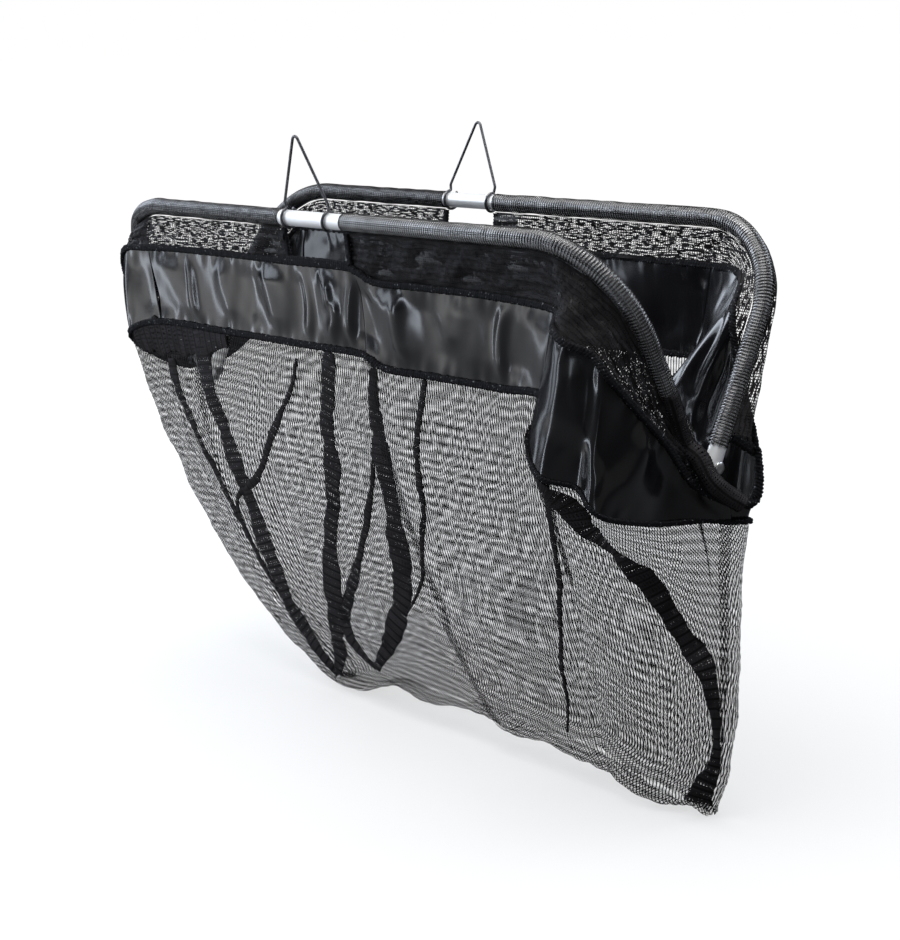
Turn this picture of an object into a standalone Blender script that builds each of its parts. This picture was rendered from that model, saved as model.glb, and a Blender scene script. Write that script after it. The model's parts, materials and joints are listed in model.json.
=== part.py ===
"""Folding weigh net: two bent-tube half frames pinned together, a sewn net bag and two wire hangers."""

import math

import bmesh
import bpy
import numpy as np

# Driving dimensions, in millimetres
BAR_LENGTH = 570.0
LEG_LENGTH = 177.0
CORNER_RADIUS = 70.0
TUBE_RADIUS = 6.0
TUBE_WALL = 1.0
LEG_OVERHANG = 9.0
HALF_ANGLE = 28.0
NEST_OFFSET = 15.0
GAP = 0.3
SLEEVE_THICK = 0.9
SLEEVE_END = 24.0
PIN_RADIUS = 2.0
PIN_CLEARANCE = 0.1
HEAD_RADIUS = 4.5
HEAD_HEIGHT = 2.4
WIRE_RADIUS = 1.1
HANGER_WIDTH = 50.0
HANGER_HEIGHT = 63.0
HANGER_TOP_RADIUS = 3.2
FRONT_HANGER_X = -18.0
REAR_HANGER_X = -15.0
FRONT_HANGER_LEAN = 9.0
REAR_HANGER_LEAN = 9.0
FRONT_GAP = (-50.0, 24.0)
REAR_GAP = (-44.0, 15.0)
STRIP_DEPTH = 34.0
SLIP = 8.0
BAND_DEPTH = 66.0
NET_BOTTOM = -245.0
BOTTOM_HALF_WIDTH = 27.0
BOTTOM_SAG = 6.0
MESH_THICK = 0.8
BAND_THICK = 1.0
SEAM_RADIUS = 1.5
SEAM_CLEARANCE = 0.85
STRIP_CLEARANCE = 0.75
SEAM_GAP = 1.3
SIDE_GAP = 0.5
BINDING_RADIUS = 1.4
BINDING_CLEARANCE = 0.52
BINDING_RISE = 3.2

DRILL_PAST = 2.0
EYE_TURN = 335.0
EYE_GAP = 0.6
KNEE_RISE = 5.0
KNEE_SPREAD = 1.0
WALL_OUT = 1.0

MM = 0.001
TUBE_SIDES = 12
EYE_STEPS = 19
TOP_STEPS = 7
# The rivet's head: shares of its height and of its radius, from the top of the dome to its base
HEAD_PROFILE = ((1.0, 0.5), (0.6, 0.9), (0.2, 1.0), (0.0, 1.0))
TOP_ROW, SEAM_ROW, HEM_ROW, BOTTOM_ROW = 0.0, 1.0, 2.0, 6.0
NET_STEPS = (0.22, 0.5, 0.8, 1.0)
# How much of the hem's place the net's first row keeps
HEM_SHARE = 0.35
# Small steps along the cloth, in columns or rows, for its directions
NEAR = 0.05
EDGE_STEP = 0.1
INSIDE = 0.001
CUT_EDGE_ROWS = (0.25, 0.5, 0.75)
# Any direction that no wire starts along
START_SIDE = (0.3, 0.9, 0.31)
ANGLE = math.radians(HALF_ANGLE)
SLEEVE_OUTER = TUBE_RADIUS + GAP + SLEEVE_THICK

# Columns of the cloth where it turns the right end, from the front wall to the rear wall.
# Each has the distance along the frame, back from the hinge, at which it hangs, its point on the band's
# upper seam, its point on the lower seam, and its place in the net below: share of length, share of width.
# The points have their x from the front half's leg, and y and z from the hinge.
RIGHT_END = (
    (197, (-48, -85, 112), (-65, -79, 50), (0.815, -1.0)),
    (180, (-36, -99, 103), (-59, -101, 24), (0.83, -1.0)),
    (157, (-23, -103, 95), (-37, -112, 6), (0.86, -0.95)),
    (135, (-8, -93, 87), (-17, -100, 0), (0.90, -0.85)),
    (105, (1, -89, 74), (-1, -104, -10), (0.925, -0.75)),
    (75, (4, -64, 48), (6, -94, -19), (0.945, -0.6)),
    (45, (6, -36, 20), (8, -50, -31), (0.965, -0.42)),
    (24, (13, -17, -9), (17, -8, -40), (0.98, -0.25)),
    (None, (24, 8, -25), (28, 12, -46), (0.995, -0.1)),
    (None, (33, 24, -26), (36, 22, -46), (1.0, 0.05)),
    (24, (28, 32, 6), (23, 36, -32), (0.985, 0.3)),
    (70, (6, 39, 62), (-23, 30, 10), (0.95, 0.55)),
    (112, (-2, 42, 98), (-47, 38, 42), (0.91, 0.8)),
    (157, (-17, 70, 118), (-53, 62, 56), (0.86, 0.95)),
    (212, (-49, 80, 122), (-59, 72, 57), (0.83, 1.0)),
)
# The same for the left end, from the rear wall to the front wall
LEFT_END = (
    (188, (56, 80, 122), (55, 72, 56), (0.07, 1.0)),
    (152, (27, 82, 110), (29, 72, 44), (0.02, 0.9)),
    (85, (9, 62, 54), (7, 66, -8), (0.0, 0.5)),
    (24, (1, 24, -8), (-7, 26, -46), (0.0, 0.25)),
    (None, (-15, 0, -28), (-17, 0, -60), (0.0, 0.0)),
    (24, (-19, -20, -6), (-18, -28, -44), (0.0, -0.25)),
    (85, (-7, -62, 56), (-7, -70, -4), (0.0, -0.55)),
    (157, (3, -84, 112), (1, -80, 42), (0.02, -0.95)),
    (197, (49, -84, 121), (49, -76, 57), (0.09, -1.0)),
)
REAR_HALF_FROM = {"right": 10, "left": 4}
# The bar and leg that the columns are listed for, and how far back along a leg its columns rise in full
LISTED_BAR = 570.0
LISTED_LEG = 177.0
FULL_RISE = 157.0
STRETCH = BAR_LENGTH / LISTED_BAR
FRONT_COLUMNS = (-150.0 * STRETCH, *FRONT_GAP, 52.0 * STRETCH, 105.0 * STRETCH, 170.0 * STRETCH)
REAR_COLUMNS = (150.0 * STRETCH, 80.0 * STRETCH, *REAR_GAP[::-1], -150.0 * STRETCH)
# The net narrows as it hangs: (height, left edge from the left leg, right edge from the right leg)
OUTLINE = ((60, 0, 15), (-20, -5, 29), (-104, 17, 37), (-190, 87, 35), (-245, 181, 19))


def half_point(side, x, s):
    """A point in a half frame's plane; side is -1 in front and 1 behind, s is measured from the hinge."""
    return np.array((x, side * s * math.sin(ANGLE), s * math.cos(ANGLE)))


def hinge_to_bar(side):
    return half_point(side, 0.0, LEG_LENGTH)


def hanger_axes(side, lean):
    """The upward and the sideways direction of a hanger that leans outwards by lean degrees."""
    tilt = math.radians(lean)
    up = np.array((0.0, side * math.sin(tilt), math.cos(tilt)))
    return up, np.array((0.0, math.cos(tilt), -side * math.sin(tilt)))


def origin_point():
    """The underside of the rear hanger's top bend, where the part hangs."""
    up, _ = hanger_axes(1, REAR_HANGER_LEAN)
    return hinge_to_bar(1) + (REAR_HANGER_X, 0, 0) + up * (HANGER_HEIGHT - WIRE_RADIUS)


ORIGIN = origin_point()


def material(name, colour, metallic, roughness):
    made = bpy.data.materials.new(name)
    made.use_nodes = True
    shader = made.node_tree.nodes["Principled BSDF"]
    shader.inputs["Base Color"].default_value = (*colour, 1.0)
    shader.inputs["Metallic"].default_value = metallic
    shader.inputs["Roughness"].default_value = roughness
    return made


def add(name, points, faces, look, pivot=(0.0, 0.0, 0.0)):
    """A closed mesh object with its origin at pivot, all in millimetres from the hinge's middle."""
    base = (np.array(pivot, float) - ORIGIN) * MM
    mesh = bpy.data.meshes.new(name)
    mesh.from_pydata(((np.array(points) - ORIGIN) * MM - base).tolist(), [], faces)
    shape = bmesh.new()
    shape.from_mesh(mesh)
    bmesh.ops.recalc_face_normals(shape, faces=shape.faces)
    shape.to_mesh(mesh)
    shape.free()
    made = bpy.data.objects.new(name, mesh)
    made.location = base
    bpy.context.scene.collection.objects.link(made)
    mesh.materials.append(material(name, *look))
    return made


def cap(first, around):
    """Faces straight across a ring, so that the end of a bent sheet follows its bend."""
    crossings = ((j, j + 1, around - 2 - j, around - 1 - j) for j in range((around - 1) // 2))
    return [tuple(dict.fromkeys(first + k for k in corners)) for corners in crossings]


def loft(name, rings, look, pivot=(0.0, 0.0, 0.0), ring_closed=False):
    """A skin over rings of equally many points, with end caps or joined round into a closed ring."""
    count, around = len(rings), len(rings[0])
    faces = []
    for i in range(count if ring_closed else count - 1):
        a, b = i * around, (i + 1) % count * around
        for j in range(around):
            k = (j + 1) % around
            faces.append((a + j, a + k, b + k, b + j))
    if not ring_closed:
        faces += cap(0, around) + cap((count - 1) * around, around)
    return add(name, np.concatenate(rings), faces, look, pivot)


def circle_rings(path, across, radius, sides):
    """Rings of the given radius round a flat path; across is the normal of the path's plane."""
    path = np.array(path)
    along = np.gradient(path, axis=0)
    along /= np.linalg.norm(along, axis=1)[:, None]
    inward = np.cross(along, across)
    turn = np.linspace(0, 2 * math.pi, sides, endpoint=False)
    return [
        p + radius * (np.outer(np.cos(turn), n) + np.outer(np.sin(turn), across))
        for p, n in zip(path, inward)
    ]


def half_middle(side):
    """Where a half's bar has its middle: the two halves are alike and stand side by side at the hinges."""
    return 0.0 if side < 0 else NEST_OFFSET


def frame_point(side, along):
    """The frame's centreline at a signed distance from the bar's middle."""
    level = BAR_LENGTH / 2 - CORNER_RADIUS
    past = abs(along) - level
    arc = CORNER_RADIUS * math.pi / 2
    turn = min(max(past / CORNER_RADIUS, 0.0), math.pi / 2)
    x = min(abs(along), level) + CORNER_RADIUS * math.sin(turn)
    s = LEG_LENGTH - CORNER_RADIUS * (1 - math.cos(turn)) - max(past - arc, 0.0)
    return half_point(side, half_middle(side) + math.copysign(x, along), s)


def along_at(s):
    """The distance from the bar's middle at which a leg is s from the hinge."""
    level = BAR_LENGTH / 2 - CORNER_RADIUS
    return level + CORNER_RADIUS * math.pi / 2 + LEG_LENGTH - CORNER_RADIUS - s


def leg_positions(side):
    """The x of a half's left and right legs."""
    return half_middle(side) - BAR_LENGTH / 2, half_middle(side) + BAR_LENGTH / 2


def frame_path(side, start, end, bend_steps=8):
    """The centreline from start to end, with points only where it bends."""
    level = BAR_LENGTH / 2 - CORNER_RADIUS
    bend = level + CORNER_RADIUS * np.linspace(0, math.pi / 2, bend_steps + 1)
    stops = [a for a in (*-bend[::-1], *bend) if start < a < end]
    return [frame_point(side, a) for a in (start, *stops, end)]


def pipe(name, side, path, outer, inner, look):
    """A hollow pipe along a path in a half frame's plane."""
    across = np.cross((1.0, 0.0, 0.0), half_point(side, 0.0, 1.0))
    skins = circle_rings(path, across, outer, TUBE_SIDES), circle_rings(path, across, inner, TUBE_SIDES)
    return loft(name, skins[0] + skins[1][::-1], look, ring_closed=True)


def ring_along_x(x, radius, sides=32):
    turn = np.linspace(0, 2 * math.pi, sides, endpoint=False)
    return np.stack([np.full(sides, x), radius * np.cos(turn), radius * np.sin(turn)], axis=1)


def drill(target, x):
    """The cross hole for the hinge pin, through both walls of a leg."""
    reach = TUBE_RADIUS + DRILL_PAST
    hole = PIN_RADIUS + PIN_CLEARANCE
    rings = [ring_along_x(x - reach, hole), ring_along_x(x + reach, hole)]
    cutter = loft(f"{target.name}_drill", rings, STEEL)
    cutter.hide_render = True
    cutter.display_type = "WIRE"
    cut = target.modifiers.new(cutter.name, "BOOLEAN")
    cut.operation = "DIFFERENCE"
    cut.solver = "EXACT"
    cut.object = cutter


ALUMINIUM = ((0.78, 0.79, 0.80), 1.0, 0.32)
STEEL = ((0.22, 0.22, 0.23), 1.0, 0.35)
NYLON = ((0.03, 0.03, 0.03), 0.0, 0.5)
NETTING = ((0.02, 0.02, 0.025), 0.0, 0.8)
VINYL = ((0.012, 0.012, 0.014), 0.0, 0.22)


def frame_half(name, side):
    """One half frame, drilled at both ends."""
    end = along_at(-LEG_OVERHANG)
    tube = pipe(name, side, frame_path(side, -end, end), TUBE_RADIUS, TUBE_RADIUS - TUBE_WALL, ALUMINIUM)
    for x in leg_positions(side):
        drill(tube, x)


def sleeve(name, side, gap_edge, direction):
    """The fold of netting sewn round the tube, from the bare gap to just short of the hinge."""
    ends = sorted((gap_edge - half_middle(side), direction * along_at(SLEEVE_END)))
    pipe(name, side, frame_path(side, *ends), SLEEVE_OUTER, TUBE_RADIUS + GAP, NETTING)


def hinge_pin(name, low, high):
    """A rivet through both legs, from the outside of one to the outside of the other, with domed heads."""
    half = [(-HEAD_HEIGHT * height, HEAD_RADIUS * radius) for height, radius in HEAD_PROFILE]
    half.append((0.0, PIN_RADIUS))
    first = low - TUBE_RADIUS - GAP
    last = high + TUBE_RADIUS + GAP
    profile = [(first + x, r) for x, r in half] + [(last - x, r) for x, r in half[::-1]]
    loft(name, [ring_along_x(x, r) for x, r in profile], STEEL)


def hinge_washer(name, low, high):
    """The spacer between the two legs on the pin."""
    first = low + TUBE_RADIUS + GAP
    last = high - TUBE_RADIUS - GAP
    bore = PIN_RADIUS + PIN_CLEARANCE
    profile = (first, bore), (first, TUBE_RADIUS), (last, TUBE_RADIUS), (last, bore)
    loft(name, [ring_along_x(x, r) for x, r in profile], NYLON, ring_closed=True)


def wire(name, points, radius, look, sides=8, pivot=(0.0, 0.0, 0.0)):
    """A round wire along a path in space, with a frame that turns as little as it can."""
    points = np.array(points, float)
    along = np.gradient(points, axis=0)
    along /= np.linalg.norm(along, axis=1)[:, None]
    side = np.cross(along[0], START_SIDE)
    turn = np.linspace(0, 2 * math.pi, sides, endpoint=False)
    rings = []
    for p, t in zip(points, along):
        side = side - t * (side @ t)
        side /= np.linalg.norm(side)
        other = np.cross(t, side)
        rings.append(p + radius * (np.outer(np.cos(turn), side) + np.outer(np.sin(turn), other)))
    return loft(name, rings, look, pivot)


def hanger(name, side, centre_x, lean):
    """A wire triangle whose two ends wrap round the bar, so that it can swing about the bar."""
    up, across = hanger_axes(side, lean)
    bar = hinge_to_bar(side) + (centre_x, 0, 0)
    wrap = TUBE_RADIUS + GAP + WIRE_RADIUS
    pitch = 2 * WIRE_RADIUS + EYE_GAP
    half = HANGER_WIDTH / 2

    def eye(end):
        """The turn round the tube, from its free end to where it leaves for the leg."""
        steps = np.linspace(-1, 0, EYE_STEPS)
        turn = steps * math.radians(EYE_TURN)
        x = end * (half + pitch * steps)
        return [
            bar + (a, 0, 0) + wrap * (math.cos(t) * up + math.sin(t) * across)
            for a, t in zip(x, turn)
        ]

    def at(x, height):
        return bar + (x, 0, 0) + height * up

    left, right = eye(-1), eye(1)
    knee = wrap + KNEE_RISE
    slope = (half - KNEE_SPREAD) / (HANGER_HEIGHT - knee)
    bend = math.atan(slope)
    centre = HANGER_HEIGHT - HANGER_TOP_RADIUS
    top = [
        at(HANGER_TOP_RADIUS * math.sin(t), centre + HANGER_TOP_RADIUS * math.cos(t))
        for t in np.linspace(-(math.pi / 2 - bend), math.pi / 2 - bend, TOP_STEPS)
    ]
    legs = [at(-half - KNEE_SPREAD, knee)], [at(half + KNEE_SPREAD, knee)]
    wire(name, left + legs[0] + top + legs[1] + right[::-1], WIRE_RADIUS, STEEL, pivot=bar)


def outline(z):
    """The net's left and right edges at a height."""
    heights = [row[0] for row in OUTLINE][::-1]
    left, right = (np.interp(z, heights, [row[k] for row in OUTLINE][::-1]) for k in (1, 2))
    return left - BAR_LENGTH / 2, right + BAR_LENGTH / 2


def wall_y(z):
    """How far from the middle plane a long wall hangs at a height."""
    top = LEG_LENGTH * math.cos(ANGLE)
    share = (z - NET_BOTTOM) / (top - NET_BOTTOM)
    return BOTTOM_HALF_WIDTH + share * (LEG_LENGTH * math.sin(ANGLE) - BOTTOM_HALF_WIDTH)


def column(seam, hem, place):
    """One column of the cloth from the band's upper seam to the bottom: six points."""
    points = [np.array(seam, float), np.array(hem, float)]
    for step in NET_STEPS:
        z = hem[2] + (NET_BOTTOM - hem[2]) * step
        left, right = outline(z)
        x = left + (right - left) * place[0]
        lower = np.array((x, place[1] * wall_y(z), z))
        keep = HEM_SHARE if step == NET_STEPS[0] else 0.0
        lower[:2] = lower[:2] * (1 - keep) + points[1][:2] * keep
        points.append(lower)
    return points


def wall_column(side, x):
    """A column of a long wall, which hangs straight below the bar."""
    drop = STRIP_DEPTH + (SLIP if side < 0 and x > FRONT_GAP[1] else 0.0)
    seam_z = LEG_LENGTH * math.cos(ANGLE) - drop
    hem_z = seam_z - BAND_DEPTH
    seam = (x, side * (wall_y(seam_z) + WALL_OUT), seam_z)
    hem = (x, side * (wall_y(hem_z) + WALL_OUT), hem_z)
    left, right = outline(hem_z)
    return column(seam, hem, ((x - left) / (right - left), side))


def leg_rise(back):
    """How far up the leg a column moves when the leg is longer than the listed one: not at all at the hinge."""
    return (LEG_LENGTH - LISTED_LEG) * min(back / FULL_RISE, 1.0) if back else 0.0


def end_hang(direction, side, back):
    """Where an end's column hangs (side, distance along the frame), or None between the two halves."""
    return (side, direction * along_at(back + leg_rise(back))) if back else None


def end_column(direction, row):
    """A column at an end of the net; direction is 1 at the right end and -1 at the left."""
    leg = direction * BAR_LENGTH / 2
    rise = leg_rise(row[0])
    moved = []
    for x, y, z in row[1:3]:
        spread = math.copysign(rise * math.sin(ANGLE), y)
        moved.append((x + leg, y + spread, z + rise * math.cos(ANGLE)))
    return column(*moved, row[3])


def cloth_columns():
    """Where each column hangs (side, distance along the frame) and its points, round the net."""
    hangs, rows = [], []
    for x in FRONT_COLUMNS:
        hangs.append((-1, x))
        rows.append(wall_column(-1, x))
    for i, row in enumerate(RIGHT_END):
        hangs.append(end_hang(1, -1 if i < REAR_HALF_FROM["right"] else 1, row[0]))
        rows.append(end_column(1, row))
    for x in REAR_COLUMNS:
        hangs.append((1, x - half_middle(1)))
        rows.append(wall_column(1, x))
    for i, row in enumerate(LEFT_END):
        hangs.append(end_hang(-1, 1 if i < REAR_HALF_FROM["left"] else -1, row[0]))
        rows.append(end_column(-1, row))
    return hangs[-1:] + hangs[:-1], np.array(rows[-1:] + rows[:-1])


HANGS, COLUMNS = cloth_columns()
LEFT_GAP_U, RIGHT_GAP_U = 2.0, 3.0
RIGHT_START = 7.0
RIGHT_STRIP_END, REAR_STRIP_START = RIGHT_START + 7.0, RIGHT_START + 10.0
REAR_START = RIGHT_START + 14.0
REAR_RIGHT_GAP_U, REAR_LEFT_GAP_U = REAR_START + 3.0, REAR_START + 4.0
LEFT_START = REAR_START + 6.0
LEFT_STRIP_END, FRONT_STRIP_START = LEFT_START + 3.0, LEFT_START + 5.0
LEFT_END_U = float(len(COLUMNS))


def cloth_point(u, v):
    """A point of the cloth: u counts columns round the net, v counts rows down it."""
    count = len(COLUMNS)
    i = math.floor(u)
    t = u - i
    before, here, after, beyond = (COLUMNS[(i + k) % count] for k in (-1, 0, 1, 2))
    rows = (
        2 * here
        + (after - before) * t
        + (2 * before - 5 * here + 4 * after - beyond) * t**2
        + (3 * here - before - 3 * after + beyond) * t**3
    ) / 2
    if v >= SEAM_ROW:
        j = min(int(v - 1), len(rows) - 2)
        return rows[j] + (rows[j + 1] - rows[j]) * (v - 1 - j)
    first, second = HANGS[i % count], HANGS[(i + 1) % count]
    if first is None or second is None or first[0] != second[0]:
        return rows[0]
    along = first[1] + (second[1] - first[1]) * t
    axis = frame_point(first[0], along)
    tube = frame_point(first[0], along + 0.5) - frame_point(first[0], along - 0.5)
    away = rows[0] - axis
    away -= tube * (away @ tube) / (tube @ tube)
    top = axis + away * (SLEEVE_OUTER + STRIP_CLEARANCE) / np.linalg.norm(away)
    return top + (rows[0] - top) * v


def cloth_normal(u, v, step=NEAR):
    """The outward direction of the cloth; a strip takes it from its lower edge."""
    low, high = max(v - step, 0.0), min(v + step, BOTTOM_ROW)
    if v < SEAM_ROW:
        low, high = TOP_ROW, SEAM_ROW
    level = max(v, SEAM_ROW)
    along = cloth_point(u + step, level) - cloth_point(u - step, level)
    down = cloth_point(u, high) - cloth_point(u, low)
    normal = np.cross(down, along)
    return normal / np.linalg.norm(normal)


def span_inside(start, end, edge, where):
    """The span from start to end along one row, shortened by edge millimetres at both ends."""
    first = EDGE_STEP * edge / np.linalg.norm(where(start + EDGE_STEP) - where(start))
    last = EDGE_STEP * edge / np.linalg.norm(where(end - EDGE_STEP) - where(end))
    return start + first, end - last


def row_inset(u, v, step, edge):
    """The change of v that leads edge millimetres away from row v, measured square to the row."""
    level = max(v, SEAM_ROW)
    row = cloth_point(u + NEAR, level) - cloth_point(u - NEAR, level)
    run = cloth_point(u, v + step) - cloth_point(u, v)
    run -= row * (run @ row) / (row @ row)
    return step * edge / np.linalg.norm(run)


def patch(name, u_span, v_span, steps, thick, look, pivot, gaps):
    """A piece of the cloth with its thickness, as one closed body; gaps holds how far it stops short of v_span."""
    shares = np.linspace(0.0, 1.0, steps[0] + 1)
    sheet = []
    for v in np.linspace(*v_span, steps[1] + 1):
        u0, u1 = span_inside(*u_span, SIDE_GAP, lambda u, v=v: cloth_point(u, v))
        sheet.append(u0 + (u1 - u0) * shares)
    rings = []
    for column_of in np.array(sheet).T:
        middle = float(column_of.mean())
        v0 = v_span[0] + row_inset(middle, v_span[0], EDGE_STEP, gaps[0])
        v1 = v_span[1] + row_inset(middle, v_span[1], -EDGE_STEP, gaps[1])
        places = list(zip(column_of, np.linspace(v0, v1, steps[1] + 1)))
        points = np.array([cloth_point(u, v) for u, v in places])
        half = np.array([cloth_normal(u, v) for u, v in places]) * thick / 2
        rings.append(np.concatenate([points + half, (points - half)[::-1]]))
    loft(name, rings, look, pivot)


def unit(vector):
    return vector / np.linalg.norm(vector)


def seam_frame(u, row):
    """The outward direction at a seam, and the angle by which the cloth beside it leans outwards."""
    along = unit(cloth_point(u + NEAR, row) - cloth_point(u - NEAR, row))
    below = cloth_point(u, row + NEAR) - cloth_point(u, row)
    above = cloth_point(u, row) - cloth_point(u, row - NEAR)
    if not above.any():
        above = below
    above, below = (unit(run - along * (run @ along)) for run in (above, below))
    out = unit(np.cross(above + below, along))
    return out, math.asin((below - above) @ out / 2)


def seam_point(u, row):
    """The middle of the ridge, just clear of the edges of the two pieces that it joins."""
    out, lean = seam_frame(u, row)
    thick = BAND_THICK / 2
    beside = SEAM_GAP * math.cos(lean) - thick * math.sin(lean)
    height = SEAM_GAP * math.sin(lean) + thick * math.cos(lean)
    reach = SEAM_RADIUS + SEAM_CLEARANCE
    return cloth_point(u, row) + out * (height + math.sqrt(max(reach**2 - beside**2, 0.0)))


def seam(name, u_span, row, steps, pivot):
    """The overlocked ridge along an edge of the band, on its outer side."""
    u0, u1 = span_inside(*u_span, 2 * SEAM_RADIUS, lambda u: cloth_point(u, row))
    line = [seam_point(u, row) for u in np.linspace(u0, u1, steps + 1)]
    wire(name, line, SEAM_RADIUS, NETTING, 5, pivot)


def notch_binding(name, start, end, steps, pivot):
    """The bound edge of a notch: down the cut end of one strip, along the band and up the next strip's end."""
    off = BINDING_RADIUS + BINDING_CLEARANCE

    def cut_edge(u, back):
        """Points down the cut end of a strip, moved into the notch; back leads into the strip."""
        inside = u + INSIDE * back
        into = off * unit(cloth_point(inside, SEAM_ROW) - cloth_point(u + EDGE_STEP * back, SEAM_ROW))
        return [cloth_point(inside, v) + into for v in CUT_EDGE_ROWS]

    def above_band(u):
        """A point just above the band's upper edge, in the band's own plane."""
        along = cloth_point(u + NEAR, SEAM_ROW) - cloth_point(u - NEAR, SEAM_ROW)
        rise = unit(np.cross(cloth_normal(u, SEAM_ROW + EDGE_STEP), along))
        return cloth_point(u, SEAM_ROW) + BINDING_RISE * rise

    first, last = span_inside(start, end, 2 * off, lambda u: cloth_point(u, SEAM_ROW))
    level = [above_band(u) for u in np.linspace(first, last, steps)]
    path = cut_edge(start, -1.0) + level + cut_edge(end, 1.0)[::-1]
    wire(name, path, BINDING_RADIUS, NETTING, 6, pivot)


def bottom_edge(side):
    """The lower edge of one long side, as x and y values from left to right."""
    points = np.array([row[-1] for row in COLUMNS if side * row[-1][1] > 0.0])
    return points[np.argsort(points[:, 0])].T[:2]


def net_bottom(name, stations, across):
    """The narrow base that joins the lower edges of the walls, sagging between them."""
    front, rear = bottom_edge(-1), bottom_edge(1)
    left = max(front[0][0], rear[0][0]) + SIDE_GAP
    right = min(front[0][-1], rear[0][-1]) - SIDE_GAP
    rings = []
    for x in np.linspace(left, right, stations + 1):
        near, far = np.interp(x, *front), np.interp(x, *rear)
        share = np.linspace(0.0, 1.0, across + 1)
        y = near + (far - near) * share
        z = NET_BOTTOM - GAP - BOTTOM_SAG * 4 * share * (1 - share)
        skin = np.stack([np.full_like(y, x), y, z], axis=1)
        rings.append(np.concatenate([skin, (skin - (0, 0, MESH_THICK))[::-1]]))
    loft(name, rings, NETTING)


def build():
    for old in list(bpy.data.objects):
        bpy.data.objects.remove(old, do_unlink=True)
    frame_half("front_frame", -1)
    frame_half("rear_frame", 1)
    for edge, (label, direction) in enumerate((("left", -1), ("right", 1))):
        legs = leg_positions(-1)[edge], leg_positions(1)[edge]
        hinge_pin(f"hinge_pin_{label}", *legs)
        hinge_washer(f"hinge_washer_{label}", *legs)
        sleeve(f"front_{label}_sleeve", -1, FRONT_GAP[edge], direction)
        sleeve(f"rear_{label}_sleeve", 1, REAR_GAP[edge], direction)
    hanger("front_hanger", -1, FRONT_HANGER_X, FRONT_HANGER_LEAN)
    hanger("rear_hanger", 1, REAR_HANGER_X, REAR_HANGER_LEAN)

    bars = {-1: hinge_to_bar(-1), 0: (0.0, 0.0, 0.0), 1: hinge_to_bar(1)}
    strips = {
        "front_left_strip": (0.0, LEFT_GAP_U, 6, -1),
        "front_right_strip": (RIGHT_GAP_U, RIGHT_START, 6, -1),
        "front_right_leg_strip": (RIGHT_START, RIGHT_STRIP_END, 18, 0),
        "rear_right_leg_strip": (REAR_STRIP_START, REAR_START, 12, 0),
        "rear_right_strip": (REAR_START, REAR_RIGHT_GAP_U, 6, 1),
        "rear_left_strip": (REAR_LEFT_GAP_U, LEFT_START, 5, 1),
        "rear_left_leg_strip": (LEFT_START, LEFT_STRIP_END, 9, 0),
        "front_left_leg_strip": (FRONT_STRIP_START, LEFT_END_U, 10, 0),
    }
    for name, (start, end, count, side) in strips.items():
        rows = (TOP_ROW, SEAM_ROW)
        patch(name, (start, end), rows, (count, 1), MESH_THICK, NETTING, bars[side], (0.0, SEAM_GAP))
    walls = {
        "front": (0.0, RIGHT_START, 12, -1),
        "right_end": (RIGHT_START, REAR_START, 34, 0),
        "rear": (REAR_START, LEFT_START, 12, 1),
        "left_end": (LEFT_START, LEFT_END_U, 20, 0),
    }
    for name, (start, end, count, side) in walls.items():
        span, bar = (start, end), bars[side]
        rows = (SEAM_ROW, HEM_ROW)
        patch(f"{name}_band", span, rows, (count, 2), BAND_THICK, VINYL, bar, (SEAM_GAP, SEAM_GAP))
        rows = (HEM_ROW, BOTTOM_ROW)
        patch(f"{name}_net", span, rows, (count, 8), MESH_THICK, NETTING, bar, (SEAM_GAP, 0.0))
        seam(f"{name}_top_seam", span, SEAM_ROW, count, bar)
        seam(f"{name}_hem_seam", span, HEM_ROW, count, bar)
    net_bottom("net_bottom", 20, 6)
    notches = {
        "front_notch_binding": (LEFT_GAP_U, RIGHT_GAP_U, 5, -1),
        "right_notch_binding": (RIGHT_STRIP_END, REAR_STRIP_START, 13, 0),
        "rear_notch_binding": (REAR_RIGHT_GAP_U, REAR_LEFT_GAP_U, 5, 1),
        "left_notch_binding": (LEFT_STRIP_END, FRONT_STRIP_START, 9, 0),
    }
    for name, (start, end, count, side) in notches.items():
        notch_binding(name, start, end, count, bars[side])


build()
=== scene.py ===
"""Folding weigh net: bent tubes, wire hangers, a glossy band and fine netting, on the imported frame."""

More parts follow.
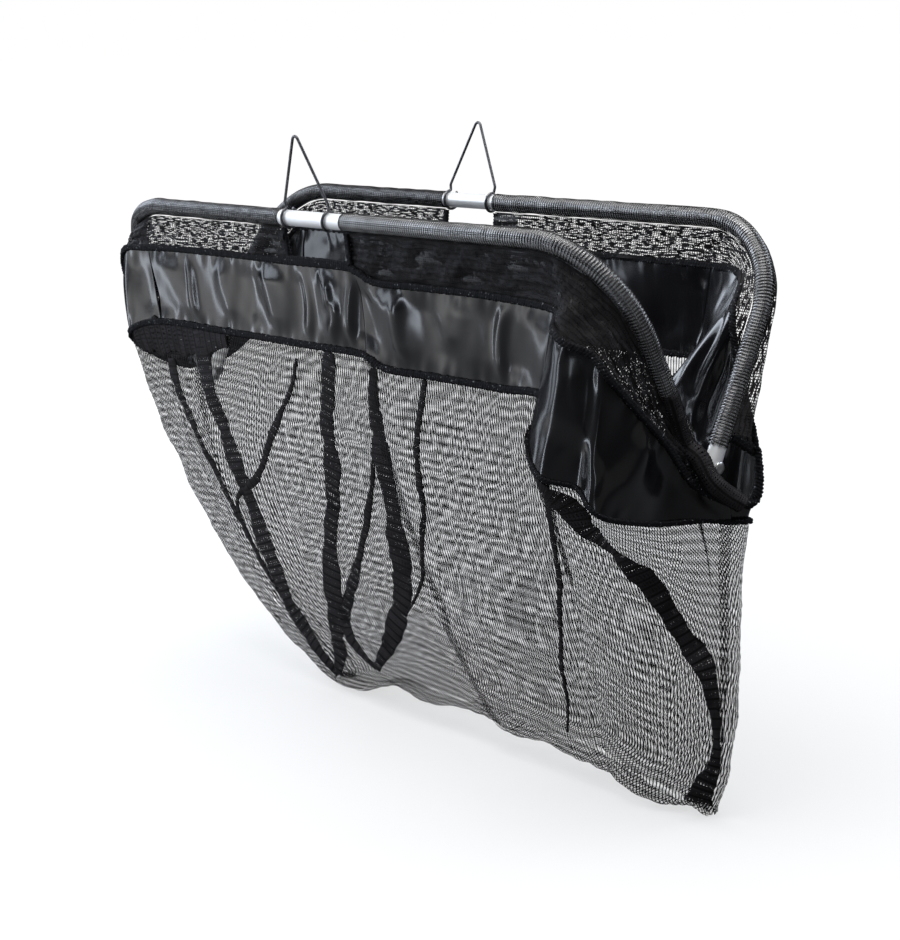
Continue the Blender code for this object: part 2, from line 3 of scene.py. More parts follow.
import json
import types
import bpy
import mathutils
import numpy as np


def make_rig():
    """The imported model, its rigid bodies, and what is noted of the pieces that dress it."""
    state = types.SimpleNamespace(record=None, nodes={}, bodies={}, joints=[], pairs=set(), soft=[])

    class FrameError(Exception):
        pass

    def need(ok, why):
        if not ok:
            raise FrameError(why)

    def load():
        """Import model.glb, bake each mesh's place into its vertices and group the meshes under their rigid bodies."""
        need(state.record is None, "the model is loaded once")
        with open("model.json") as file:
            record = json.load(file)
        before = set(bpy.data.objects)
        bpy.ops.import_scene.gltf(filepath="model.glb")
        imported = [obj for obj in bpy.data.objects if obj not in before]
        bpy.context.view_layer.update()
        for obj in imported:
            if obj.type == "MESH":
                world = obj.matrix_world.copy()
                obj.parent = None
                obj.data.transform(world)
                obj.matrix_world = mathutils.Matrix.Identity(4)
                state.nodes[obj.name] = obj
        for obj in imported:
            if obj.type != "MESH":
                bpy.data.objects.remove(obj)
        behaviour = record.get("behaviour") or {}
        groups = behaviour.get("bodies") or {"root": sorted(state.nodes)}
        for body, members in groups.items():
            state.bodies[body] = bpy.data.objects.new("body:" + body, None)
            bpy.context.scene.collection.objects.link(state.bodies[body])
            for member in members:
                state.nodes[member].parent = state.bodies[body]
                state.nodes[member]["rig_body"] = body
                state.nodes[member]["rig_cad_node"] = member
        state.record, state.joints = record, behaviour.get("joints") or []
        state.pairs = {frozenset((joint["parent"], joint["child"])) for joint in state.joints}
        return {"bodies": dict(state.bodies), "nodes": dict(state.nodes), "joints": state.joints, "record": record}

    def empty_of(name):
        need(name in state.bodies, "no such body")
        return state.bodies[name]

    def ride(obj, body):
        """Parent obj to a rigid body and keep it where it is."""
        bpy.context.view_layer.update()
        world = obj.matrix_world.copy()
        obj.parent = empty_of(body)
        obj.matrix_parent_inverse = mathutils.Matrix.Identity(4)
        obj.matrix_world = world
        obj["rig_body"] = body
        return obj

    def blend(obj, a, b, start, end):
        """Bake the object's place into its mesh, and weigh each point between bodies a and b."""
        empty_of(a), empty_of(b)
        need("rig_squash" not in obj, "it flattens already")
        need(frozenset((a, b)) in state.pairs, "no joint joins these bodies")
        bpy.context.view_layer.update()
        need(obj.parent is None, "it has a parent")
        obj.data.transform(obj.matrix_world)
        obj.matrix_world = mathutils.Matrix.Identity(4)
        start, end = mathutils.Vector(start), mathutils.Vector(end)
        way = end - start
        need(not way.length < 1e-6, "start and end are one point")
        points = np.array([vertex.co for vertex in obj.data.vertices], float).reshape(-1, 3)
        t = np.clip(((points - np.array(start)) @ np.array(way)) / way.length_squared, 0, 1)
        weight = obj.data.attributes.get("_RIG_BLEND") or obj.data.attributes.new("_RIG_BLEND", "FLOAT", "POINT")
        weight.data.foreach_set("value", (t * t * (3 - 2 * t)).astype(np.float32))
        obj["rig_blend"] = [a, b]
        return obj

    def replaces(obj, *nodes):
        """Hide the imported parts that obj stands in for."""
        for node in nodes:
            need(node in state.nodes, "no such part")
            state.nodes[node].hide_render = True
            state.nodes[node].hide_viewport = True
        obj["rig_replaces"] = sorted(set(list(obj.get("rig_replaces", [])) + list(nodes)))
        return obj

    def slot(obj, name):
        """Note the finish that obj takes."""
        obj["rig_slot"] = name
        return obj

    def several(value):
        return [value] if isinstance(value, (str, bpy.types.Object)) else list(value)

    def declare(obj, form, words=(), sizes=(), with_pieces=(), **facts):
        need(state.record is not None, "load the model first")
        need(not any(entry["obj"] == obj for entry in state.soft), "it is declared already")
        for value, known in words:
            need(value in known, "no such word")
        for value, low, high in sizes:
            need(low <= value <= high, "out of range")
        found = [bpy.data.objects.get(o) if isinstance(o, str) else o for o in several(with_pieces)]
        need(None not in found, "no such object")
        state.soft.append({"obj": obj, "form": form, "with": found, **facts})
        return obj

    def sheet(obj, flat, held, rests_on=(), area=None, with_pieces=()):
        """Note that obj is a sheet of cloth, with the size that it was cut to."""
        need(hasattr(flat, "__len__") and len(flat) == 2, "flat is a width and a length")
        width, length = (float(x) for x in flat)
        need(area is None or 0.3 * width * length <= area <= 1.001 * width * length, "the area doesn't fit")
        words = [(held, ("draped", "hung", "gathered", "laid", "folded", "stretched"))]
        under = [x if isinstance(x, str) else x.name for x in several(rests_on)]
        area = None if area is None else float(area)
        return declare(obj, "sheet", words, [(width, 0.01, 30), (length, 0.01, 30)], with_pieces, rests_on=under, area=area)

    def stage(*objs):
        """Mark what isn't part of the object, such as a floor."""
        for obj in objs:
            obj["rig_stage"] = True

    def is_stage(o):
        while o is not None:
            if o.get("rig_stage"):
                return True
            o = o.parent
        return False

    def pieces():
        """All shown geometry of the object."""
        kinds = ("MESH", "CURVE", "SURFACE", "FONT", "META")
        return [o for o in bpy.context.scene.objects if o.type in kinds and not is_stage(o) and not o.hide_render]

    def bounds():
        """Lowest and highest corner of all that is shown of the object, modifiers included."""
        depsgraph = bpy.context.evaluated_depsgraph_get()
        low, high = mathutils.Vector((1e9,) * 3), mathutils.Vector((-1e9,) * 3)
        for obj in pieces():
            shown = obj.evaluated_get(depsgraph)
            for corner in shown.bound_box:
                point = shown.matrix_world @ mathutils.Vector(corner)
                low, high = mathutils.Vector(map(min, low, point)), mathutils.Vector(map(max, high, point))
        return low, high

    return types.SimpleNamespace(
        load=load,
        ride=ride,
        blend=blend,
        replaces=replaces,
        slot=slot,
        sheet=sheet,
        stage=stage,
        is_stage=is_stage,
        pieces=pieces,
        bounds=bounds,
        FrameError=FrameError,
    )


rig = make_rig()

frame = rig.load()

import json
import math

import bmesh
import bpy
import numpy as np
from bpy.props import FloatProperty, FloatVectorProperty, PointerProperty
from mathutils import Matrix

bl_info = {
    "name": "Folding weigh net",
    "version": (1, 0, 0),
    "blender": (4, 5, 0),
    "location": "View3D > Sidebar > Weigh net",
    "description": "Makes a folding weigh net round its packed frame",
    "category": "Add Mesh",
}

CAD_BOX = [list(corner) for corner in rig.bounds()]
QUARTER, TURN = math.pi / 2, 2 * math.pi
JUST = 1e-6

# The frame's own sizes, in millimetres from the middle of the hinge axis; -1 is the front half and 1 the rear
MM = 0.001
ORIGIN = np.array((-15.0, 92.78, 217.42))
SIDES = {-1: "front", 1: "rear"}
HALF_BAR, LEG_LENGTH, CORNER_RADIUS = 285.0, 177.0, 70.0
LEVEL = HALF_BAR - CORNER_RADIUS
ANGLE = math.radians(28.0)
BAR_OUT, BAR_HIGH = LEG_LENGTH * math.sin(ANGLE), LEG_LENGTH * math.cos(ANGLE)
MIDDLES = {-1: 0.0, 1: 15.0}
TUBE_RADIUS, TUBE_WALL, LEG_OVERHANG = 6.0, 1.0, 9.0
TUBE_STEPS, TUBE_SIDES, SLEEVE_SIDES, WIRE_SIDES = 420, 48, 40, 16
GAP = 0.3
SLEEVE_OUTER = TUBE_RADIUS + GAP + 0.9
STRIP_CLEARANCE = 0.35
SLEEVE_ENDS = {(-1, -1): 24.0, (-1, 1): 2.0, (1, -1): 24.0, (1, 1): 14.0}
SLEEVE_UNDER, SLEEVE_UNEVEN = 0.35, 0.22
RIB_HEIGHTS = {-1: 0.16, 1: 0.42}
PIN_RADIUS, HEAD_RADIUS, HEAD_HEIGHT, HEAD_DOME, HEAD_RIM = 2.0, 4.5, 2.4, 1.25, 0.1
SPACER_EDGE, SPACER_PLAY = 0.25, 0.1
WIRE_RADIUS, WIRE_STEP = 1.1, 0.5
HANGER_WIDTH, HANGER_HEIGHT, HANGER_TOP_RADIUS, HANGER_KNEE, HANGER_FOOT = 50.0, 63.0, 3.2, 5.0, 1.0
HANGER_LEAN, EYE_WRAP, EYE_GAP = math.radians(9.0), math.radians(335.0), 0.6
EYE_STEPS, LEG_STEPS = 60, 24
HANGER_X = {-1: -18.0, 1: -15.0}
GAPS = {-1: (-50.0, 24.0), 1: (-44.0, 15.0)}
STRIP_DEPTH, SLIP, BAND_DEPTH = 34.0, 8.0, 66.0
NET_BOTTOM, BOTTOM_HALF_WIDTH, BOTTOM_SAG = -245.0, 27.0, 6.0
SEAM_RADIUS, SEAM_WIDE, SEAM_NARROW, SEAM_OUT = 1.5, 1.25, 0.85, 0.5
BINDING_RADIUS, BINDING_WIDE, BINDING_NARROW, BINDING_OUT, BINDING_UP = 1.4, 1.75, 1.3, 0.6, 2.2
WALL_OUT = 1.0
NET_DOWN = (0.22, 0.5, 0.8, 1.0)
HEM_SHARE = 0.35
BOTTOM_LIFT, LIFT_FROM, LIFT_RISE, LIFT_TO, LIFT_FALL = 16.0, -67.0, 62.0, 180.0, 110.0

# Columns of the cloth round both ends: the distance along the frame, back from the hinge, at which a column
# hangs, its point on the upper seam, its point on the lower seam (x from the leg), and its place in the net
RIGHT_END = (
    (197, (-48, -85, 112), (-65, -79, 50), (0.815, -1.0)),
    (180, (-36, -99, 103), (-59, -101, 24), (0.83, -1.0)),
    (157, (-23, -103, 95), (-37, -112, 6), (0.86, -0.95)),
    (135, (-8, -93, 87), (-17, -100, 0), (0.90, -0.85)),
    (105, (1, -89, 74), (-1, -104, -10), (0.925, -0.75)),
    (75, (4, -64, 48), (6, -94, -19), (0.945, -0.6)),
    (45, (6, -36, 20), (8, -50, -31), (0.965, -0.42)),
    (24, (13, -17, -9), (16, -8, -36), (0.98, -0.25)),
    (None, (24, 8, -25), (24, 12, -40), (0.995, -0.1)),
    (None, (33, 24, -26), (29, 22, -40), (1.0, 0.05)),
    (24, (28, 32, 6), (16, 34, -42), (0.985, 0.3)),
    (70, (6, 39, 62), (-34, 28, -22), (0.95, 0.55)),
    (112, (-2, 42, 98), (-58, 38, 34), (0.91, 0.8)),
    (157, (-17, 70, 118), (-53, 62, 56), (0.86, 0.95)),
    (212, (-49, 80, 122), (-59, 72, 57), (0.83, 1.0)),
)
LEFT_END = (
    (188, (56, 80, 122), (55, 72, 56), (0.07, 1.0)),
    (152, (27, 82, 110), (29, 72, 50), (0.02, 0.9)),
    (85, (9, 62, 58), (12, 62, 36), (0.0, 0.5)),
    (24, (4, 26, 20), (4, 26, 10), (0.0, 0.25)),
    (None, (-15, 0, 11), (-14, 0, 1), (0.0, 0.0)),
    (24, (-14, -22, 17), (-9, -26, 8), (0.0, -0.25)),
    (85, (-1, -62, 56), (3, -68, 30), (0.0, -0.55)),
    (157, (9, -84, 112), (7, -80, 46), (0.02, -0.95)),
    (197, (49, -84, 121), (49, -76, 57), (0.09, -1.0)),
)
FRONT_COLUMNS = (-150.0, *GAPS[-1], 52.0, 105.0, 170.0)
REAR_COLUMNS = (150.0, 80.0, *GAPS[1][::-1], -150.0)
# Round the net: side, columns of the long wall, direction of the next end, its columns, where the halves meet
ROUND = ((-1, FRONT_COLUMNS, 1, RIGHT_END, 10), (1, REAR_COLUMNS, -1, LEFT_END, 4))
# The bag's left and right edge at each height
OUTLINE = ((60, 0, 15), (-20, -5, 29), (-104, 17, 37), (-190, 87, 35), (-245, 181, 19))

# Places along the cloth, in columns, and down it, in rows
FRONT_GAP_U, REAR_GAP_U = (2.0, 3.0), (24.0, 25.0)
OVERLAP_U = 3.12
RIGHT_START, RIGHT_STRIP_END, RIGHT_SPLIT, REAR_STRIP_START, REAR_START = 7.0, 14.0, 14.7, 17.0, 21.0
LEFT_START, LEFT_STRIP_END, LEFT_SPLIT, FRONT_STRIP_START, ROUND_END = 27.0, 30.0, 31.0, 32.0, 35.0
LEFT_END_U = ROUND_END - JUST
TOP, SEAM, HEM, BOTTOM, MIDDLE = 0.0, 1.0, 2.0, 6.0, 7.0

# How fine the pieces are: millimetres between columns round the net, and rows down each piece
STRIP_STEP, BAND_STEP, NET_STEP = 2.0, 1.6, 4.0
STRIP_ROWS, BAND_ROWS, NET_ROWS, BOTTOM_ROWS = 24, 46, 80, 14

# How an end's cloth divides between the frame and the hanging wall: its share at the hinge, and how that
# share grows outwards and downwards, for each millimetre; a strip divides over its own depth
SHARE_AT_HINGE, SHARE_OUT, SHARE_DOWN = 0.4, 0.0115, 0.0029
STRIP_FROM, STRIP_REACH = 7.0, {"right_leg": 22.0, "left_leg": 15.0, "front_shoulder": 12.0}
SHOULDER_TOP, SHOULDER_LOW = 152.0, 120.0

# The camera, fitted to the bars, corners and hinge, and the studio round it
CAMERA_PLACE = (1023.9, -909.2, 288.8)
CAMERA_RIGHT, CAMERA_UP = (0.6836, 0.7292, -0.0292), (-0.1568, 0.1858, 0.9700)
CAMERA_LENS, SENSOR = 70.17, 36.0
FLOOR_SIZE, FLOOR_BELOW = 60000.0, 3.0
LAMP_TARGET = (0.0, 0.0, -40.0)
WHITE, COOL = (1.0, 1.0, 1.0), (0.80, 0.88, 1.0)
# How bright the world is off camera, and the floor's colour in reflections and bounced light: painted shade, darker
# than the camera sees it
STUDIO_DIM, FLOOR_IN_GLOSS = 0.14, (0.14, 0.14, 0.14)
# The floor's glow to the camera, painted weaker under the top lamp so that glow and lamp light add up to an even
# white: its strength, how much weaker, and the square of the distance in square metres over which that fades
FLOOR_GLOW, TOP_LAMP_GLOW, TOP_LAMP_REACH = 0.97, 0.44, 3.06
# A round glow painted on the floor, seen only in reflections and bounced light: a painted reflection, no lamp; its
# centre and reach in metres, and its strength
PAINTED_REFLECTION_CENTRE, PAINTED_REFLECTION_REACH, PAINTED_REFLECTION_GLOW = (-1.0, -1.1), 0.75, 1.8
# Each lamp: name, place in millimetres, width and height in metres, power, colour
LAMPS = (
    ("key", (-1250.0, -1150.0, 330.0), (0.45, 0.9), 4.5, COOL),
    ("top", (100.0, -100.0, 1500.0), (1.4, 1.4), 30.0, WHITE),
    ("back", (900.0, 1300.0, 900.0), (0.9, 0.6), 9.0, COOL),
    ("strip", (1300.0, -1500.0, 500.0), (0.2, 0.9), 2.0, COOL),
    ("left", (-1500.0, -150.0, 650.0), (0.9, 0.8), 14.0, COOL),
    ("high", (-1100.0, -950.0, 1000.0), (1.0, 0.8), 7.0, COOL),
    ("low_left", (-884.0, -440.0, -20.0), (0.1, 0.42), 0.5, COOL),
    ("low_front", (-313.0, -983.0, -20.0), (0.1, 0.42), 1.3, COOL),
)


def unit(vectors):
    """Each vector divided by its length."""
    return vectors / np.maximum(np.linalg.norm(vectors, axis=-1, keepdims=True), 1e-12)


def half_point(side, x, s):
    """Points of a half frame's plane: x along the hinge and s up the leg."""
    x, s = np.broadcast_arrays(np.asarray(x, float), np.asarray(s, float))
    return np.stack([x, side * s * math.sin(ANGLE), s * math.cos(ANGLE)], axis=-1)


def square_to_half(side):
    """The direction square to a half frame's plane."""
    return np.cross((1.0, 0.0, 0.0), half_point(side, 0.0, 1.0))


def frame_line(side, along):
    """The bent tube's centreline: straight along the bar, a quarter circle at each corner, down the leg."""
    along = np.asarray(along, float)
    past = np.abs(along) - LEVEL
    turn = np.clip(past / CORNER_RADIUS, 0.0, QUARTER)
    x = np.minimum(np.abs(along), LEVEL) + CORNER_RADIUS * np.sin(turn)
    down = np.maximum(past - CORNER_RADIUS * QUARTER, 0.0)
    s = LEG_LENGTH - CORNER_RADIUS * (1 - np.cos(turn)) - down
    return half_point(side, MIDDLES[side] + np.copysign(x, along), s)


def along_at(back):
    """The distance from the bar's middle of a point that is so far back from the hinge along the tube."""
    return LEVEL + CORNER_RADIUS * QUARTER + LEG_LENGTH - CORNER_RADIUS - back


def outline(z):
    """The bag's left and right edge at a height."""
    heights, left, right = np.array(OUTLINE[::-1], float).T
    return np.interp(z, heights, left) - HALF_BAR, np.interp(z, heights, right) + HALF_BAR


def wall_y(z):
    """How far a long wall hangs from the middle plane: a straight line from the bar to the bottom."""
    share = (z - NET_BOTTOM) / (BAR_HIGH - NET_BOTTOM)
    return BOTTOM_HALF_WIDTH + share * (BAR_OUT - BOTTOM_HALF_WIDTH)


def smooth(t):
    """From 0 to 1 as t goes from 0 to 1, level at both ends."""
    t = np.clip(t, 0.0, 1.0)
    return t * t * (3 - 2 * t)


def bottom_lift(x):
    """How far the bottom is drawn up along its length, most in the middle."""
    return BOTTOM_LIFT * smooth((x - LIFT_FROM) / LIFT_RISE) * (1 - smooth((x - LIFT_TO) / LIFT_FALL))


def column(seam, hem, place):
    """One column of the cloth: upper seam, lower seam, four points down the net, and the middle below."""
    points = [np.array(seam, float), np.array(hem, float)]
    for step in NET_DOWN:
        z = hem[2] + (NET_BOTTOM - hem[2]) * step
        left, right = outline(z)
        lower = np.array((left + (right - left) * place[0], place[1] * wall_y(z), z))
        keep = HEM_SHARE if step == NET_DOWN[0] else 0.0
        lower[:2] = lower[:2] * (1 - keep) + points[1][:2] * keep
        lower[2] += step * step * bottom_lift(lower[0])
        points.append(lower)
    x = points[-1][0]
    points.append(np.array((x, 0.0, NET_BOTTOM - BOTTOM_SAG + bottom_lift(x))))
    return points


def wall_column(side, x):
    """A column of a long wall, which hangs straight from the bar."""
    drop = STRIP_DEPTH + (SLIP if side < 0 and x > GAPS[side][1] else 0.0)
    seam_z = BAR_HIGH - drop
    hem_z = seam_z - BAND_DEPTH
    left, right = outline(hem_z)
    points = [(x, side * (wall_y(z) + WALL_OUT), z) for z in (seam_z, hem_z)]
    return column(*points, ((x - left) / (right - left), side))


def cloth_columns():
    """Every column round the net, and where each hangs: the half, and the distance along its tube."""
    hangs, rows = [], []
    for side, wall, direction, end, meet in ROUND:
        for x in wall:
            hangs.append((side, x - MIDDLES[side]))
            rows.append(wall_column(side, x))
        for i, (back, seam, hem, place) in enumerate(end):
            half = side if i < meet else -side
            hangs.append((half, direction * along_at(back)) if back else (0, 0.0))
            points = [(x + direction * HALF_BAR, y, z) for x, y, z in (seam, hem)]
            rows.append(column(*points, place))
    return np.array(hangs[-1:] + hangs[:-1]), np.array(rows[-1:] + rows[:-1])


HANGS, COLUMNS = cloth_columns()


def catmull(before, here, after, beyond, t):
    """The smooth curve through four neighbours, at share t between the middle two."""
    return (
        2 * here
        + (after - before) * t
        + (2 * before - 5 * here + 4 * after - beyond) * t**2
        + (3 * here - before - 3 * after + beyond) * t**3
    ) / 2


def columns_at(u):
    """The cloth's columns at u, a smooth curve through the neighbours round the net."""
    i = np.floor(u).astype(int)
    t = (u - i)[:, None, None]
    return catmull(*(COLUMNS[(i + k) % len(COLUMNS)] for k in (-1, 0, 1, 2)), t)


def tube_edge(u, seam):
    """Where the strip leaves the sleeve: from the tube's axis towards the seam, square to the tube."""
    i = np.floor(u).astype(int)
    first, second = HANGS[i % len(HANGS)], HANGS[(i + 1) % len(HANGS)]
    side = np.where(first[:, 0] != 0, first[:, 0], second[:, 0])
    start = np.where(first[:, 0] != 0, first[:, 1], second[:, 1])
    end = np.where(second[:, 0] != 0, second[:, 1], first[:, 1])
    along = start + (end - start) * (u - i)
    line = {half: (frame_line(half, along), frame_line(half, along + 0.5) - frame_line(half, along - 0.5))
            for half in SIDES}
    rear = (side > 0)[:, None]
    axis = np.where(rear, line[1][0], line[-1][0])
    tube = unit(np.where(rear, line[1][1], line[-1][1]))
    away = seam - axis
    away -= tube * (away * tube).sum(axis=1, keepdims=True)
    return axis + unit(away) * (SLEEVE_OUTER + STRIP_CLEARANCE)


def cloth(u, v):
    """The whole bag as one surface: u counts columns round it, v counts rows down it. A row is a smooth curve
    through the columns; a column is straight down the strip and the band, and a smooth curve down the net."""
    rows = columns_at(u)
    made = np.empty((len(u), len(v), 3))
    strip, band, net = v < SEAM, (v >= SEAM) & (v < HEM), v >= HEM
    if strip.any():
        top = tube_edge(u, rows[:, 0])[:, None]
        made[:, strip] = top + (rows[:, :1] - top) * v[strip][None, :, None]
    made[:, band] = rows[:, :1] + (rows[:, 1:2] - rows[:, :1]) * (v[band] - SEAM)[None, :, None]
    if net.any():
        down, last = v[net] - SEAM, rows.shape[1] - 1
        j = np.clip(np.floor(down).astype(int), 1, last - 1)
        before = np.where((j > 1)[None, :, None], rows[:, j - 1], 2 * rows[:, j] - rows[:, j + 1])
        beyond = rows[:, np.minimum(j + 2, last)]
        made[:, net] = catmull(before, rows[:, j], rows[:, j + 1], beyond, (down - j)[None, :, None])
    return made


def grid_normals(points):
    """The outward direction at each point of a grid: down the cloth crossed with along it."""
    return unit(np.cross(np.gradient(points, axis=1), np.gradient(points, axis=0)))


def run_along(line):
    """How far along a line each of its points is."""
    return np.concatenate([[0.0], np.cumsum(np.linalg.norm(np.diff(line, axis=0), axis=1))])


U_TABLE = np.linspace(0.0, ROUND_END, 1401)
ROUND_MM = run_along(cloth(U_TABLE, np.array([(SEAM + HEM) / 2]))[:, 0])


def round_mm(u):
    """How far round the net u is, in millimetres along the band's middle."""
    return np.interp(u, U_TABLE, ROUND_MM)


def spaced(start, end, step):
    """Values of u from start to end about step millimetres apart along the band."""
    low, high = round_mm(start), round_mm(end)
    return np.interp(np.linspace(low, high, max(int((high - low) / step), 4) + 1), ROUND_MM, U_TABLE)


def waves(x, y, size, seed, slant=0.0, count=7):
    """Soft unevenness: a sum of sine waves of random direction and phase, about size long each way.
    slant from 0 to 1 draws the waves out along y."""
    draw = np.random.default_rng(seed)
    total = np.zeros(np.broadcast(x, y).shape)
    for angle, turn, scale in zip(*draw.uniform((0, 0, 0.6), (math.pi, TURN, 1.6), (count, 3)).T):
        across = x * math.cos(angle) + y * math.sin(angle) * (1 - slant)
        total += np.sin(TURN * across / (size * scale) + turn)
    return total / math.sqrt(count)


def near(distance, width):
    """1 on a line, falling softly to 0 a few widths away."""
    return np.exp(-((distance / width) ** 2))


def fading(x, place, reach=60.0):
    """1 at a place, falling softly to 0 over reach on both sides."""
    return smooth(1 - np.abs(x - place) / reach)


def to_world(points):
    """Millimetres from the middle of the hinge axis, as metres in the frame's own place."""
    return (np.asarray(points, float).reshape(-1, 3) - ORIGIN) * MM


def new_piece(name, points, quads, uv=None):
    """A smooth mesh object at the origin from points in millimetres and faces of four corners."""
    mesh = bpy.data.meshes.new(name)
    quads = np.asarray(quads, np.int32).reshape(-1, 4)
    mesh.vertices.add(len(points))
    mesh.vertices.foreach_set("co", to_world(points).astype(np.float32).ravel())
    mesh.loops.add(quads.size)
    mesh.loops.foreach_set("vertex_index", quads.ravel())
    mesh.polygons.add(len(quads))
    mesh.polygons.foreach_set("loop_start", np.arange(0, quads.size, 4, dtype=np.int32))
    mesh.polygons.foreach_set("use_smooth", np.ones(len(quads), bool))
    if uv is not None:
        layer = mesh.uv_layers.new(name="cloth")
        layer.uv.foreach_set("vector", (np.asarray(uv)[quads.ravel()] * MM).astype(np.float32).ravel())
    mesh.update(calc_edges=True)
    made = bpy.data.objects.new(name, mesh)
    bpy.context.scene.collection.objects.link(made)
    return made


def sheet_of(name, points, thick=0.0):
    """A sheet from a grid of points, with its map in millimetres along and down it. Netting has no thickness,
    because the material cuts its threads out. Vinyl is moved half its thickness each way along its normals,
    and its rim is closed."""
    n, m = points.shape[:2]
    uv = np.stack(lengths(points), axis=-1).reshape(-1, 2)
    index = np.arange(n * m).reshape(n, m)
    outer = np.stack([index[:-1, :-1], index[:-1, 1:], index[1:, 1:], index[1:, :-1]], axis=-1).reshape(-1, 4)
    if not thick:
        return new_piece(name, points.reshape(-1, 3), outer, uv)
    off = grid_normals(points) * thick / 2
    both = np.concatenate([(points + off).reshape(-1, 3), (points - off).reshape(-1, 3)])
    rim = np.concatenate([index[:-1, 0], index[-1, :-1], index[:0:-1, -1], index[0, :0:-1]])
    after = np.roll(rim, -1)
    edge = np.stack([rim, after, after + n * m, rim + n * m], axis=-1)
    quads = np.concatenate([outer, outer[:, ::-1] + n * m, edge])
    return new_piece(name, both, quads, np.concatenate([uv, uv]))


def lengths(points):
    """Distances in millimetres from the grid's middle column and from its first row."""
    along = np.linalg.norm(np.diff(points, axis=0), axis=2)
    down = np.linalg.norm(np.diff(points, axis=1), axis=2)
    x = np.concatenate([np.zeros((1, points.shape[1])), np.cumsum(along, axis=0)])
    y = np.concatenate([np.zeros((points.shape[0], 1)), np.cumsum(down, axis=1)], axis=1)
    return x - x[points.shape[0] // 2], y


def turns(count):
    """Angles once round, evenly spaced."""
    return np.linspace(0, TURN, count, endpoint=False)


def rings(path, along, reference, radius, sides):
    """Circles square to the directions along a path, turned from the reference direction."""
    side = unit(reference - along * (reference * along).sum(axis=1, keepdims=True))
    other = np.cross(along, side)
    turn = turns(sides)
    ring = side[:, None] * np.cos(turn)[None, :, None] + other[:, None] * np.sin(turn)[None, :, None]
    return path[:, None] + ring * np.asarray(radius, float)[..., None]


def swept(name, path, radius, reference, sides):
    """A round skin carried along a path; radius may change along the path and round it."""
    return skin(name, rings(path, unit(np.gradient(path, axis=0)), reference, radius, sides))


def hollow_tube(name, path, reference, outer, inner, sides):
    """A pipe: the outer skin one way along the path and the inner skin back, closed at both cut ends."""
    there = np.concatenate([path, path[::-1]])
    along = unit(np.gradient(path, axis=0))
    along = np.concatenate([along, along[::-1]])
    radius = np.concatenate([np.full((len(path), 1), outer), np.full((len(path), 1), inner)])
    return skin(name, rings(there, along, reference, radius, sides), closed=True)


def skin(name, points, closed=False, lengthwise_rows=False):
    """A skin over rings of points, closed round each ring, and over its ends by a last small ring. Its map
    runs along the line first, or round it first."""
    if not closed:
        first, last = (np.broadcast_to(ring.mean(axis=1, keepdims=True), ring.shape)
                       for ring in (points[:1], points[-1:]))
        points = np.concatenate([first, points, last])
    n, m = points.shape[:2]
    index = np.arange(n * m).reshape(n, m)
    here, onward = (index, np.roll(index, -1, axis=0)) if closed else (index[:-1], index[1:])
    quads = np.stack([here, np.roll(here, -1, axis=1), np.roll(onward, -1, axis=1), onward], axis=-1)
    along = run_along(points.mean(axis=1))
    across = np.linspace(0.0, 1.0, m) * TURN * TUBE_RADIUS
    pair = (across[None, :], along[:, None]) if lengthwise_rows else (along[:, None], across[None, :])
    uv = np.stack(np.broadcast_arrays(*pair), axis=-1).reshape(-1, 2)
    made = new_piece(name, points.reshape(-1, 3), quads, uv)
    if not closed:
        close_poles(made)
    return made


def close_poles(made):
    """Joins the points that meet at a pole, so that the skin is closed there."""
    shape = bmesh.new()
    shape.from_mesh(made.data)
    bmesh.ops.remove_doubles(shape, verts=shape.verts, dist=1e-7)
    shape.to_mesh(made.data)
    shape.free()


def turned(name, profile, sides=64):
    """A piece turned about the hinge axis: profile gives x and radius, and ends at radius 0 or on itself."""
    profile = np.asarray(profile, float)
    turn = turns(sides)
    x = np.broadcast_to(profile[:, :1], (len(profile), sides))
    points = np.stack([x, profile[:, 1:] * np.cos(turn), profile[:, 1:] * np.sin(turn)], axis=-1)
    return skin(name, points, closed=bool(profile[0, 1]))


def smooth_line(points, count):
    """A smooth curve through the given rows of numbers, as count rows."""
    points = np.asarray(points, float)
    last = len(points) - 1
    at = np.linspace(0, last, count)
    i = np.clip(np.floor(at).astype(int), 0, last - 1)
    before = np.where((i > 0)[:, None], points[i - 1], 2 * points[i] - points[i + 1])
    after = np.minimum(i + 2, last)
    beyond = np.where((i + 2 <= last)[:, None], points[after], 2 * points[i + 1] - points[i])
    return catmull(before, points[i], points[i + 1], beyond, (at - i)[:, None])


def eased(path, reference, step, width):
    """The path and its reference at even steps, with its corners rounded by averaging width neighbours."""
    run = run_along(path)
    at = np.linspace(0.0, run[-1], int(run[-1] / step))
    line, ref = (np.stack([np.interp(at, run, values[:, k]) for k in range(3)], axis=1)
                 for values in (path, reference))
    start, end = (np.repeat(point, width // 2, axis=0) for point in (line[:1], line[-1:]))
    padded = np.concatenate([start, line, end])
    kernel = np.ones(width) / width
    line = np.stack([np.convolve(padded[:, k], kernel, "valid") for k in range(3)], axis=1)[: len(ref)]
    return line, unit(ref)


# Materials


def tinted(colour, share=1.0):
    """A colour with each of its numbers multiplied by share."""
    return tuple(c * share for c in colour)


